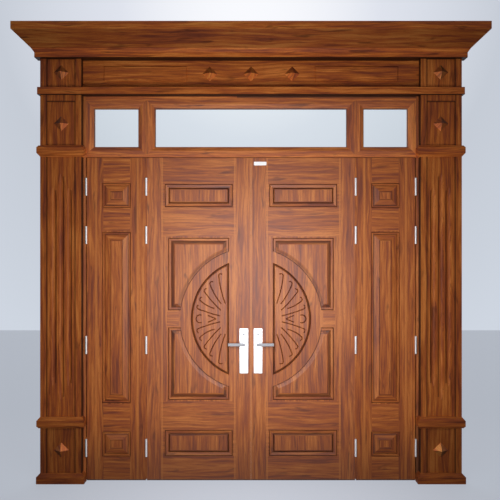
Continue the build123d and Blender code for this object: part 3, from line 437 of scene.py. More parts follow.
@dataclass(frozen=True)
class Cavity(Mark):
    """A pressed region whose grooves get more painted shade the deeper they lie under the face."""

    near: float
    far: float
    low: float
    high: float
    start: float
    full: float
    painted_shade: float
    front: float = LEAF_FRONT
    back: float = LEAF_BACK
    # Distances from the fan's middle where the painted shade is mostly lifted, down to clear_rest of its
    # strength, on the ring's lit bevel.
    clear: Pair = (0.0, 0.0)
    clear_rest: float = 0.12

    def mask(self, graph: Graph, side: Number, up: Number) -> Socket:
        """Painted shade by the depth under the face."""
        depth = graph.place()[1]
        under = graph.calc("MINIMUM", graph.calc("SUBTRACT", depth, self.front),
                           graph.calc("SUBTRACT", self.back, depth))
        node = graph.add("ShaderNodeMapRange")
        graph.feed(node.inputs[0], under)
        for end, value in zip(node.inputs[1:5], (self.start, self.full, 0.0, self.painted_shade)):
            end.default_value = value
        held = graph.both(graph.between(side, self.near, self.far), graph.between(up, self.low, self.high))
        if self.clear[1]:
            lit = graph.between(graph.reach(side, up), *self.clear)
            held = graph.both(held, graph.rub(lit, 1.0, self.clear_rest))
        return graph.both(node.outputs[0], held)


@dataclass(frozen=True)
class Layout:
    """How the boards of one piece lie, where shade is painted on it, and how much lighter or darker its print
    is painted for the light that falls on it.
    """

    grain: Grain = Grain.UPRIGHT
    mirrored: bool = False
    seed: float = 0.0
    boards: tuple[Patch, ...] = ()
    glows: tuple[Glow, ...] = ()
    painted_shades: tuple[Mark, ...] = ()
    # Factor on the print's colours: painted light or shade, a lighter or darker copy of the print for how the
    # lamps fall on the piece.
    shade: float = 1.0


@dataclass(frozen=True)
class WoodPrint:
    """Teak grain printed on steel under a satin lacquer."""

    dark: Colour = (0.215, 0.047, 0.018)
    red: Colour = (0.365, 0.084, 0.021)
    tan: Colour = (0.490, 0.126, 0.022)
    pale: Colour = (0.680, 0.215, 0.045)
    knot: Colour = (0.105, 0.021, 0.008)
    pore: Colour = (0.060, 0.016, 0.006)
    # Colour of the painted shade.
    painted_shade: Colour = (0.024, 0.007, 0.003)
    roughness: Pair = (0.45, 0.54)
    gloss: float = 0.58
    stops: tuple[float, ...] = (0.380, 0.455, 0.515, 0.605)
    lightest: float = 0.95
    lean: Pair = (0.7, -0.35)
    back_shift: float = 9.3
    sway: float = 0.055
    sway_waves: Pair = (1.9, 5.0)
    broad_waves: Pair = (1.1, 15.0)
    ribbon_waves: Pair = (3.2, 66.0)
    fine_waves: Pair = (8.0, 260.0)
    knot_waves: Pair = (4.5, 30.0)
    pore_waves: Pair = (28.0, 900.0)
    broad_share: float = 0.36
    ribbon_share: float = 0.50
    fine_share: float = 0.14
    knot_shift: float = 2.3
    knot_from: float = 0.60
    knot_gain: float = 5.0
    knot_most: float = 0.62
    glow: float = 0.85
    pore_from: float = 0.66
    pore_most: float = 0.45
    fine_relief: float = 0.5
    relief: Pair = (0.0006, 0.35)

    def material(self, name: str, layout: Layout) -> bpy.types.Material:
        """Makes the print for one layout of boards.

        Args:
            name: Name of the material.
            layout: Grain directions and seeds of the piece.

        Returns:
            The new material.
        """
        graph = Graph(name)
        across_x, depth, up = graph.place()
        side = graph.calc("ABSOLUTE", across_x) if layout.mirrored else across_x
        level: Number = layout.grain.value
        seed: Number = layout.seed
        for board in layout.boards:
            level, seed = board.draw(graph, side, up, level, seed)
        from_depth = graph.calc("MULTIPLY", depth, graph.pick(level, *self.lean))
        along = graph.pick(level, up, across_x)
        across = graph.calc("ADD", graph.pick(level, across_x, up), from_depth)
        at_back = graph.calc("GREATER_THAN", depth, LEAF_MIDDLE)
        seed = graph.calc("MULTIPLY_ADD", at_back, self.back_shift, seed)
        sway = graph.streaks(along, across, seed, self.sway_waves, detail=2.0)
        bent = graph.calc("MULTIPLY_ADD", sway, self.sway, across)
        broad = graph.streaks(along, bent, seed, self.broad_waves, detail=2.0)
        ribbon = graph.streaks(along, bent, seed, self.ribbon_waves, detail=3.0, roughness=0.6)
        fine = graph.streaks(along, bent, seed, self.fine_waves, detail=2.0)
        tone = graph.calc("MULTIPLY", broad, self.broad_share)
        tone = graph.calc("MULTIPLY_ADD", ribbon, self.ribbon_share, tone)
        tone = graph.calc("MULTIPLY_ADD", fine, self.fine_share, tone)
        # The ramp's colours are painted lighter or darker by the layout's factor.
        base = graph.ramp(tone, self.shades(layout.shade))
        knot_seed = graph.calc("ADD", seed, self.knot_shift)
        smudge = graph.streaks(along, bent, knot_seed, self.knot_waves, detail=2.0, warp=0.6)
        knots = graph.calc("MULTIPLY", graph.calc("SUBTRACT", smudge, self.knot_from), self.knot_gain)
        knots = graph.calc("MINIMUM", graph.calc("MAXIMUM", knots, 0.0), self.knot_most)
        base = graph.tint(knots, base, self.knot)
        for glow in layout.glows:
            pale = graph.calc("MULTIPLY", glow.mask(graph, side, up), self.glow)
            base = graph.tint(pale, base, self.pale)
        dash = graph.streaks(along, bent, seed, self.pore_waves, detail=1.0)
        pores = graph.rub(graph.calc("GREATER_THAN", dash, self.pore_from), 0.0, self.pore_most)
        base = graph.tint(pores, base, self.pore)
        # Painted shade in folds, grooves, soffits, returns and at the foot.
        for shade_mark in layout.painted_shades:
            base = graph.tint(shade_mark.mask(graph, side, up), base, self.painted_shade)
        graph.surface("Base Color", base)
        graph.surface("Roughness", graph.rub(ribbon, *self.roughness))
        graph.surface("Specular IOR Level", self.gloss)
        graph.bump(graph.calc("MULTIPLY_ADD", fine, self.fine_relief, ribbon), *self.relief)
        return graph.material

    def shades(self, shade: float) -> list[tuple[float, Colour]]:
        """Places on the ramp with the grain's colours, times a factor that paints light or shade."""
        colours = (self.dark, self.red, self.tan, self.pale)
        return [(where, tuple(min(value * shade, self.lightest) for value in colour))
                for where, colour in zip(self.stops, colours)]


@dataclass(frozen=True)
class Metal:
    """A steel finish, brushed or polished."""

    name: str
    colour: Colour
    shade: Colour
    roughness: Pair
    stretch: Triple
    bump: float
    # Colour of a painted dark reflection on the broad faces.
    painted_reflection: Optional[Colour] = None
    haze_waves: Pair = (22.0, 22.0)
    mark_depth: float = 0.0002
    facing: float = 0.9

    def material(self) -> bpy.types.Material:
        """Makes the steel with fine marks along its brushing.

        Where it has a painted reflection colour, the broad faces that look to the front and back take it as a
        painted dark reflection.

        Returns:
            The new material.
        """
        graph = Graph(self.name)
        across_x, depth, up = graph.place()
        spread = graph.calc("MULTIPLY", across_x, self.stretch[0])
        spread = graph.calc("MULTIPLY_ADD", depth, self.stretch[1], spread)
        marks = graph.streaks(up, spread, 0.0, (self.stretch[2], 1.0), detail=4.0)
        haze = graph.streaks(up, across_x, 4.0, self.haze_waves, detail=2.0)
        colour = graph.tint(graph.calc("MULTIPLY", haze, marks), self.colour, self.shade)
        # Painted dark reflection on the broad front and back faces.
        if self.painted_reflection:
            split = graph.add("ShaderNodeSeparateXYZ")
            graph.link(graph.add("ShaderNodeTexCoord").outputs["Normal"], split.inputs[0])
            broad = graph.calc("GREATER_THAN", graph.calc("ABSOLUTE", split.outputs[1]), self.facing)
            colour = graph.tint(broad, colour, self.painted_reflection)
        graph.surface("Base Color", colour)
        graph.surface("Metallic", 1.0)
        graph.surface("Roughness", graph.rub(marks, *self.roughness))
        graph.bump(marks, self.mark_depth, self.bump)
        return graph.material


@dataclass(frozen=True)
class ClearGlass:
    """Clear window glass with a faint green tint."""

    colour: Colour = (0.93, 0.97, 0.96)
    index: float = 1.45
    smear_waves: Pair = (3.0, 5.0)
    roughness: Pair = (0.0, 0.03)

    def material(self) -> bpy.types.Material:
        """Makes the glass, with faint smears."""
        graph = Graph("clear_glass")
        across_x, _, up = graph.place()
        smear = graph.streaks(up, across_x, 1.0, self.smear_waves, detail=4.0)
        graph.surface("Base Color", (*self.colour, 1.0))
        graph.surface("Transmission Weight", 1.0)
        graph.surface("IOR", self.index)
        graph.surface("Roughness", graph.rub(smear, *self.roughness))
        return graph.material


@dataclass(frozen=True)
class Rubber:
    """Matt rubber of the seals."""

    name: str
    colour: Colour
    dusty: Colour
    dust_waves: Pair = (40.0, 400.0)
    roughness: Pair = (0.55, 0.8)
    relief: Pair = (0.0004, 0.3)

    def material(self) -> bpy.types.Material:
        """Makes rubber with a little dust."""
        graph = Graph(self.name)
        across_x, depth, up = graph.place()
        dust = graph.streaks(up, graph.calc("ADD", across_x, depth), 2.0, self.dust_waves, detail=4.0)
        graph.surface("Base Color", graph.tint(dust, self.colour, self.dusty))
        graph.surface("Roughness", graph.rub(dust, *self.roughness))
        graph.bump(dust, *self.relief)
        return graph.material


BRUSHED = Metal("brushed_steel", colour=(0.88, 0.86, 0.84), shade=(0.68, 0.66, 0.65), roughness=(0.56, 0.68),
                stretch=(60.0, 60.0, 900.0), bump=0.15)
POLISHED = Metal("polished_steel", colour=(0.87, 0.89, 0.91), shade=(0.78, 0.80, 0.83),
                 roughness=(0.36, 0.44), stretch=(700.0, 700.0, 8.0), bump=0.06)
# The grip's broad faces get a painted dark reflection.
GRIP = Metal("grip_steel", colour=(0.88, 0.89, 0.91), shade=(0.70, 0.71, 0.74), roughness=(0.26, 0.36),
             stretch=(8.0, 700.0, 700.0), bump=0.06, painted_reflection=(0.15, 0.15, 0.16))
ZINC = Metal("zinc_steel", colour=(0.66, 0.66, 0.64), shade=(0.45, 0.45, 0.42), roughness=(0.32, 0.50),
             stretch=(90.0, 90.0, 90.0), bump=0.25)
BLACK_RUBBER = Rubber("black_rubber", colour=(0.014, 0.014, 0.015), dusty=(0.040, 0.038, 0.036))
BROWN_RUBBER = Rubber("brown_rubber", colour=(0.060, 0.022, 0.008), dusty=(0.105, 0.042, 0.016))


def dress(names: Iterable[str], material: bpy.types.Material) -> None:
    """Puts one material on CAD nodes.

    Args:
        names: Names of the nodes.
        material: The material for all of them.
    """
    for name in names:
        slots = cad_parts[name].data.materials
        slots.clear()
        slots.append(material)
        log.info("dressed %s in %s", name, material.name)


def ease_edges(names: Iterable[str], width: float) -> None:
    """Rounds the sharp edges of CAD nodes by a small bevel.

    Args:
        names: Names of the nodes.
        width: Width of the rounding, in metres.
    """
    for name in names:
        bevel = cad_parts[name].modifiers.new("eased", "BEVEL")
        bevel.width = width
        bevel.segments = 2
        bevel.limit_method = "ANGLE"
        bevel.angle_limit = math.radians(EDGE_ANGLE)
        bevel.harden_normals = True


def put(name: str, data: bpy.types.ID) -> bpy.types.Object:
    """Links a new object with that data into the scene."""
    piece = bpy.data.objects.new(name, data)
    bpy.context.scene.collection.objects.link(piece)
    return piece


def push_out(shape: bmesh.types.BMesh, corners: Iterable[Sequence[float]], push: Sequence[float]) -> None:
    """Adds a prism: a flat face pushed out along a vector.

    Args:
        shape: Mesh that takes the prism.
        corners: Corners of the face, in order.
        push: How far the face is pushed.
    """
    base = shape.faces.new([shape.verts.new(corner) for corner in corners])
    grown = bmesh.ops.extrude_face_region(shape, geom=[base])
    moved = [v for v in grown["geom"] if isinstance(v, bmesh.types.BMVert)]
    bmesh.ops.translate(shape, verts=moved, vec=push)


def add_piece(name: str, shape: bmesh.types.BMesh, material: bpy.types.Material) -> bpy.types.Object:
    """Puts a built mesh into the scene.

    Args:
        name: Name of the piece.
        shape: Its mesh, which is used up.
        material: Its finish.

    Returns:
        The new object.
    """
    bmesh.ops.recalc_face_normals(shape, faces=shape.faces)
    mesh = bpy.data.meshes.new(name)
    shape.to_mesh(mesh)
    shape.free()
    mesh.materials.append(material)
    log.info("made %s", name)
    return put(name, mesh)


# Painted shade, darker towards the foot of the leaves.
LEAF_FOOT_SHADE = Crease(Run.LEVEL, at=0.0, half=0.55, painted_shade=0.42)


@dataclass
class MainLeaf:
    """A wide leaf with two level panels, two panels in the corners round the fan, and the fan."""

    side: Side
    wood: WoodPrint
    stiles: Pair = (0.107, 0.641)
    top: float = 2.31
    window: Pair = (0.5745, 1.7295)
    rail_gap: float = 0.01
    bridge: float = 0.0615
    bridge_span: Pair = (0.515, 0.60)
    panel_middle: float = 0.3725
    wide_half: float = 0.242
    wide_rows: tuple[Triple, ...] = ((2.031, 0.0825, 11.0), (0.267, 0.093, 23.0))
    wide_border: float = 0.042
    corner_half: float = 0.217
    corner_rows: tuple[Pair, ...] = ((1, 13.0), (-1, 19.0))
    corner_border: float = 0.047
    ring_foot: float = 0.5075
    streaks: tuple[Pair, ...] = ((0.115, 0.010), (0.6335, 0.010), (0.003, 0.008))
    # Painted shade on the pressed lines round the panels, and on the bevel inside them.
    rim_stain: float = 0.62
    slope_inset: float = 0.033
    slope_half: float = 0.014
    slope_painted_shade: float = 0.36
    eased: float = 0.0012

    def panels(self) -> tuple[Moulding, ...]:
        """The two level panels, then the two in the corners."""
        low, high = self.window
        half = (self.corner_half, (high - low) / 4 - self.bridge / 2)
        wide = [Moulding((self.panel_middle, height), (self.wide_half, half_height), self.wide_border, seed)
                for height, half_height, seed in self.wide_rows]
        corner = [Moulding((self.panel_middle, (low + high) / 2 + sign * (self.bridge + half[1])), half,
                           self.corner_border, seed, ring=self.ring_foot) for sign, seed in self.corner_rows]
        return tuple(wide + corner)

    def layout(self) -> Layout:
        """Grain of the stiles, rails, mouldings and fields, and their painted shade.

        Returns:
            The layout of the leaf's boards.
        """
        low, high = self.window
        middle = (low + high) / 2
        foot = self.ring_foot
        rails = (
            Board(*self.stiles, high + self.rail_gap, self.top, Grain.LEVEL, seed=2.0),
            Board(*self.stiles, 0.0, low - self.rail_gap, Grain.LEVEL, seed=5.0),
            Board(*self.bridge_span, middle - self.bridge, middle + self.bridge, Grain.LEVEL, seed=7.0),
        )
        panels = self.panels()
        glows = tuple(Glow(*streak) for streak in self.streaks)
        # Painted shade along the pressed lines and the bevels; the lower panels leave the ring's arc bare, as
        # it faces the lamp.
        lines = [Rim(panel.middle, panel.half, ring=panel.ring, painted_shade=self.rim_stain) for panel in panels]
        for panel in panels:
            ring = panel.ring + self.slope_half if panel.ring else 0.0
            lines.append(Rim(panel.middle, panel.half, self.slope_inset, self.slope_half, ring,
                             painted_shade=self.slope_painted_shade, arc=panel.middle[1] > middle))
        # Painted shade in the pressed grooves and the carved fan, lifted on the ring's bevel.
        pressed = Cavity(near=0.12, far=0.63, low=0.15, high=2.14, start=0.0034, full=0.0085, painted_shade=0.54,
                         clear=(foot, foot + 0.034))
        carved = Cavity(near=0.15, far=0.435, low=0.74, high=1.57, start=0.0034, full=0.0065, painted_shade=0.42,
                        clear=(foot - 0.06, foot + 0.05))
        return Layout(mirrored=True, seed=1.0, boards=rails + panels, glows=glows,
                      painted_shades=(*lines, pressed, carved, LEAF_FOOT_SHADE))

    def dress(self) -> None:
        """Puts the print on the leaf."""
        name = f"{self.side.word}_main_leaf"
        dress([name], self.wood.material(name + "_print", self.layout()))
        ease_edges([name], self.eased)


@dataclass
class SideLeaf:
    """A narrow leaf with its two square panels and the tall one."""

    side: Side
    wood: WoodPrint
    rail_span: Pair = (0.862, 1.052)
    rails: tuple[Triple, ...] = ((1.78, 2.31, 31.0), (0.0, 0.545, 35.0))
    panel_middle: float = 0.959
    panel_half: float = 0.101
    panel_rows: tuple[Triple, ...] = (
        (2.031, 0.0885, 41.0), (0.259, 0.0885, 47.0), (1.162, 0.6105, 53.0),
    )
    border: float = 0.066
    streaks: tuple[Pair, ...] = ((0.8075, 0.015), (1.104, 0.012))
    line_insets: Pair = (0.003, 0.0595)
    gloss: float = 0.38
    eased: float = 0.0012

    def layout(self) -> Layout:
        """Grain of the stiles, rails, mouldings and fields, and their painted shade.

        Returns:
            The layout of the leaf's boards.
        """
        rails = [Board(*self.rail_span, low, high, Grain.LEVEL, seed) for low, high, seed in self.rails]
        panels = [Moulding((self.panel_middle, height), (self.panel_half, half_height), self.border, seed)
                  for height, half_height, seed in self.panel_rows]
        glows = tuple(Glow(*streak) for streak in self.streaks)
        # Painted shade along the pressed lines, deep in the grooves and at the foot.
        lines = [Rim(panel.middle, panel.half, inset) for panel in panels for inset in self.line_insets]
        pressed = Cavity(near=0.85, far=1.07, low=0.15, high=2.14, start=0.0080, full=0.0105, painted_shade=0.55)
        return Layout(mirrored=True, seed=29.0, boards=(*rails, *panels), glows=glows,
                      painted_shades=(*lines, pressed, LEAF_FOOT_SHADE))

    def dress(self) -> None:
        """Puts the print on the leaf and its stop bar."""
        name = f"{self.side.word}_side_leaf"
        print_ = replace(self.wood, gloss=self.gloss).material(name + "_print", self.layout())
        dress([name, name + "_stop"], print_)
        ease_edges([name], self.eased)


@dataclass
class DoorFrame:
    """The folded steel frame, the transom lights and the seal."""

    wood: WoodPrint
    sash: Pair = (2.324, 2.709)
    sash_border: float = 0.056
    center_half: float = 0.740
    side_middle: float = 0.963
    side_half: float = 0.213

    def sash_layout(self) -> Layout:
        """Mitred grain round the three lights, with painted shade in the splay and the print painted lighter.
        """
        low, high = self.sash
        height, half_height = (low + high) / 2, (high - low) / 2
        lights = (
            Moulding((0.0, height), (self.center_half, half_height), self.sash_border, seed=61.0),
            Moulding((self.side_middle, height), (self.side_half, half_height), self.sash_border, seed=67.0),
        )
        # Painted shade deep in the splay round the glass.
        splay = Cavity(near=-0.01, far=1.2, low=2.3, high=2.75, start=0.0150, full=0.0190, painted_shade=0.85,
                       back=0.1025)
        # The print of the sashes is painted lighter.
        return Layout(mirrored=True, seed=59.0, boards=lights, painted_shades=(splay,), shade=1.2)

    def dress(self) -> None:
        """Puts print with its painted shade and light, glass and rubber on the frame."""
        # Painted shade, darker towards the foot of the jambs.
        foot = Crease(Run.LEVEL, at=0.0, half=0.75, painted_shade=0.80)
        upright = self.wood.material("frame_print", Layout(Grain.UPRIGHT, seed=71.0, painted_shades=(foot,)))
        # Painted shadow under the architrave band; the head's print is painted lighter.
        band_shadow = Crease(Run.LEVEL, at=2.740, half=0.022, painted_shade=0.92)
        head = Layout(Grain.LEVEL, seed=73.0, painted_shades=(band_shadow,), shade=1.38)
        level = self.wood.material("head_print", head)
        sash = self.wood.material("sash_print", self.sash_layout())
        dress(["left_jamb", "right_jamb", "mullions"], upright)
        dress(["head_jamb", "transom_bar"], level)
        dress(["left_sash", "right_sash", "center_sash", "glazing_beads"], sash)
        dress(["left_pane", "right_pane", "center_pane"], ClearGlass().material())
        dress(["frame_seal"], BLACK_RUBBER.material())


@dataclass
class Surround:
    """Pilasters, frieze and cornice round the frame."""

    wood: WoodPrint
    # The number of each piece paints light or shade: a lighter or darker copy of the print for how the lamp
    # falls on it.
    upright: tuple[tuple[str, float], ...] = (
        ("left_shaft", 0.94), ("right_shaft", 0.94), ("capitals", 0.99), ("pedestals", 0.60),
        ("frieze_blocks", 1.08),
    )
    level: tuple[tuple[str, float], ...] = (
        ("plinths", 0.64), ("pilaster_collars", 1.14), ("architrave_band", 1.22), ("frieze_board", 1.22),
        ("cornice", 1.52),
    )
    studs: str = "pyramid_studs"
    gloss: float = 0.16
    stud_gloss: float = 0.40
    # The studs' print is painted lighter, and every facet but the lit one gets painted shade.
    stud_shade: float = 1.75
    stud_middle: float = 1.3395
    stud_heights: tuple[float, ...] = (0.230, 2.5345, 2.896)
    stud_half: float = 0.056
    stud_painted_shade: float = 0.60
    top_painted_shade: float = 0.45
    margin: float = 0.1
    inner_edge: float = 1.194
    recess: Pair = (1.239, 1.440)
    recess_painted_shade: float = 0.72
    # Where painted shade falls: soffits, the cornice's slope, the recesses' tops and the pedestals' caps.
    soffits: tuple[float, ...] = (2.737, 2.992)
    slope: Pair = (3.103, 0.0505)
    recess_tops: tuple[float, ...] = (2.691, 2.992)
    caps: Pair = (0.40, 0.09)
    shaft: Pair = (0.468, 2.300)
    flutes: tuple[Pair, ...] = ((-0.054, 0.235), (0.0, 0.137), (0.054, 0.235))
    flute_wall: float = 0.0165
    flute_line: float = 0.0075
    first_seed: float = 83.0
    seed_step: float = 6.4
    eased: float = 0.0015

    def facets(self) -> tuple[Crease, ...]:
        """Painted shade on the facets of the studs: all but the one that looks at the middle of the door,
        which stays lit.
        """
        half, low = self.stud_half, self.stud_middle - self.margin
        outer = Crease(Run.UPRIGHT, self.stud_middle + half, half, painted_shade=self.stud_painted_shade, soft=False)
        stains = [outer]
        for height in self.stud_heights:
            away = half if height > FAN_HEIGHT else -half
            stains.append(Crease(Run.LEVEL, height + away, half, low=low, painted_shade=self.stud_painted_shade, soft=False))
        top = self.stud_heights[-1] + half
        stains.append(Crease(Run.LEVEL, top, half, high=low, painted_shade=self.top_painted_shade, soft=False))
        return tuple(stains)

    def walls(self) -> tuple[Crease, ...]:
        """Painted shade on the returns of the pilasters and of their recess."""
        edges = [Crease(Run.UPRIGHT, self.inner_edge, half=0.004, painted_shade=0.92)]
        edges += [Crease(Run.UPRIGHT, edge, half=0.007, painted_shade=self.recess_painted_shade) for edge in self.recess]
        tops = [Crease(Run.LEVEL, height, 0.008, *self.recess, painted_shade=self.recess_painted_shade)
                for height in self.recess_tops]
        return tuple(edges + tops)

    def flute_lines(self) -> tuple[Crease, ...]:
        """Painted shade in the flutes of the shafts, on the wall that looks away from the middle of the door.
        """
        low, high = self.shaft
        return tuple(Crease(Run.UPRIGHT, self.stud_middle + place - self.flute_wall, self.flute_line,
                            low + margin, high - margin, painted_shade=0.62) for place, margin in self.flutes)

    def lines(self) -> tuple[Crease, ...]:
        """Painted shade on the soffits of the mouldings, then on the slope of the cornice and the caps of the
        pedestals.
        """
        soffits = [Crease(Run.LEVEL, height, half=0.004, painted_shade=0.97) for height in self.soffits]
        slope = Crease(Run.LEVEL, *self.slope, painted_shade=0.42, soft=False)
        caps = Crease(Run.LEVEL, *self.caps, painted_shade=0.30, soft=False)
        return (*soffits, slope, caps)

    def dress(self) -> None:
        """Puts the print on the surround, each piece with its own run of grain, its painted shade and its
        print painted lighter or darker.
        """
        grooves = self.walls() + self.flute_lines() + self.lines()[:len(self.soffits)]
        rows = [(name, Grain.UPRIGHT, shade, grooves) for name, shade in self.upright]
        rows += [(name, Grain.LEVEL, shade, self.lines()) for name, shade in self.level]
        for index, (name, grain, shade, painted_shades) in enumerate(rows):
            seed = self.first_seed + self.seed_step * index
            layout = Layout(grain, mirrored=True, seed=seed, painted_shades=painted_shades, shade=shade)
            dress([name], replace(self.wood, gloss=self.gloss).material(name + "_print", layout))
            ease_edges([name], self.eased)
        glossy = replace(self.wood, gloss=self.stud_gloss)
        # The studs' print is painted lighter, with painted shade on the facets away from the lamp.
        studs = Layout(mirrored=True, seed=171.0, painted_shades=self.facets(), shade=self.stud_shade)
        dress([self.studs], glossy.material("stud_print", studs))


@dataclass
class Fittings:
    """Hinges, handles, lock and bolts."""

    hinges: tuple[str, ...] = (
        "frame_hinge_wings", "outer_hinge_pins",
        "left_side_leaf_outer_wings", "left_side_leaf_inner_wings", "left_inner_hinge_pins",
        "right_side_leaf_outer_wings", "right_side_leaf_inner_wings", "right_inner_hinge_pins",
        "left_main_leaf_wings", "right_main_leaf_wings",
    )
    plates: tuple[str, ...] = (
        "left_outer_plate", "left_inner_plate", "right_outer_plate", "right_inner_plate",
    )
    levers: tuple[str, ...] = (
        "left_outer_lever", "left_inner_lever", "right_outer_lever", "right_inner_lever",
    )
    cylinders: tuple[str, ...] = ("left_key_cylinder", "right_key_cylinder")
    zinc: tuple[str, ...] = (
        "left_gear_case", "left_strike_plate", "right_lock_case", "left_top_rod", "left_bottom_rod",
        "right_lock_bolts", "left_side_top_bolt", "left_side_bottom_bolt", "right_side_top_bolt",
        "right_side_bottom_bolt",
    )

    def dress(self) -> None:
        """Puts steel on the fittings."""
        dress(self.hinges, BRUSHED.material())
        dress(self.plates, POLISHED.material())
        dress(self.levers + self.cylinders, GRIP.material())
        dress(self.zinc, ZINC.material())


@dataclass
class BarePlate:
    """The blank metal plate at the top of the right main leaf."""

    left: float = 0.021
    right: float = 0.110
    low: float = 2.246
    high: float = 2.272
    face: float = LEAF_FRONT
    thick: float = 0.0016
    round: float = 0.004
    corner_points: int = 6
    eased: float = 0.0004

    def outline(self) -> list[Triple]:
        """The rectangle on the leaf's face, with round corners."""
        inner = self.round
        turns = ((self.right - inner, self.high - inner, 0), (self.left + inner, self.high - inner, 90),
                 (self.left + inner, self.low + inner, 180), (self.right - inner, self.low + inner, 270))
        points = []
        for x, z, turn in turns:
            for step in range(self.corner_points):
                angle = math.radians(turn + step * 90 / (self.corner_points - 1))
                points.append((x + inner * math.cos(angle), self.face, z + inner * math.sin(angle)))
        return points

    def build(self) -> None:
        """Makes the plate with eased edges."""
        shape = bmesh.new()
        push_out(shape, self.outline(), (0.0, -self.thick, 0.0))
        piece = add_piece("bare_plate", shape, BRUSHED.material())
        edge = piece.modifiers.new("eased", "BEVEL")
        edge.width = self.eased
        edge.segments = 2
        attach(piece, "right_main")


@dataclass
class GapLips:
    """Thin strips on the edge of a side leaf that close the gap to the main leaf between the hinges."""

    side: Side
    near: float = 0.7426
    far: float = 0.7484
    front: float = 0.0493
    thick: float = 0.0016
    spans: tuple[Pair, ...] = ((0.010, 0.168), (0.302, 0.900), (1.034, 1.682), (1.816, 2.026), (2.160, 2.298))

    def build(self) -> None:
        """Makes the strips as one piece in the finish of the side leaf."""
        back, half = self.front + self.thick, self.thick / 2
        section = ((self.near, back), (self.near, self.front + half), (self.near + half, self.front),
                   (self.far, self.front), (self.far, back))
        shape = bmesh.new()
        for low, high in self.spans:
            push_out(shape, [(self.side.value * x, y, low) for x, y in section], (0.0, 0.0, high - low))
        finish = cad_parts[f"{self.side.word}_side_leaf"].data.materials[0]
        piece = add_piece(f"{self.side.word}_gap_lips", shape, finish)
        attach(piece, f"{self.side.word}_side")


@dataclass
class LeafSeals:
    """Rubber lips of one leaf: along its foot, and at the meeting edge of a main leaf."""

    side: Side
    leaf: str
    span: Pair
    meeting: bool
    low: float = 0.0012
    foot: float = 0.0086
    front: float = 0.0492
    thick: float = 0.0028
    top: float = 2.298
    slit: float = 0.00015
    bite: float = 0.0003

    def build(self, rubber: bpy.types.Material) -> None:
        """Makes the lips as one piece.

        Args:
            rubber: Finish of the lips.
        """
        sign = self.side.value
        near, far = (sign * edge for edge in self.span)
        back = self.front + self.thick
        taper = self.thick / 3
        shape = bmesh.new()
        wiper = ((self.front, self.foot), (self.front + taper, self.low),
                 (back - taper, self.low), (back, self.foot))
        push_out(shape, [(near, depth, up) for depth, up in wiper], (far - near, 0.0, 0.0))
        if self.meeting:
            tip, root = sign * self.slit, sign * (self.span[0] + self.bite)
            fin = ((self.front + taper, tip), (self.front, root), (back, root), (back - taper, tip))
            push_out(shape, [(x, depth, self.low) for depth, x in fin], (0.0, 0.0, self.top - self.low))
        piece = add_piece(f"{self.side.word}_{self.leaf}_leaf_lips", shape, rubber)
        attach(piece, f"{self.side.word}_{self.leaf}")


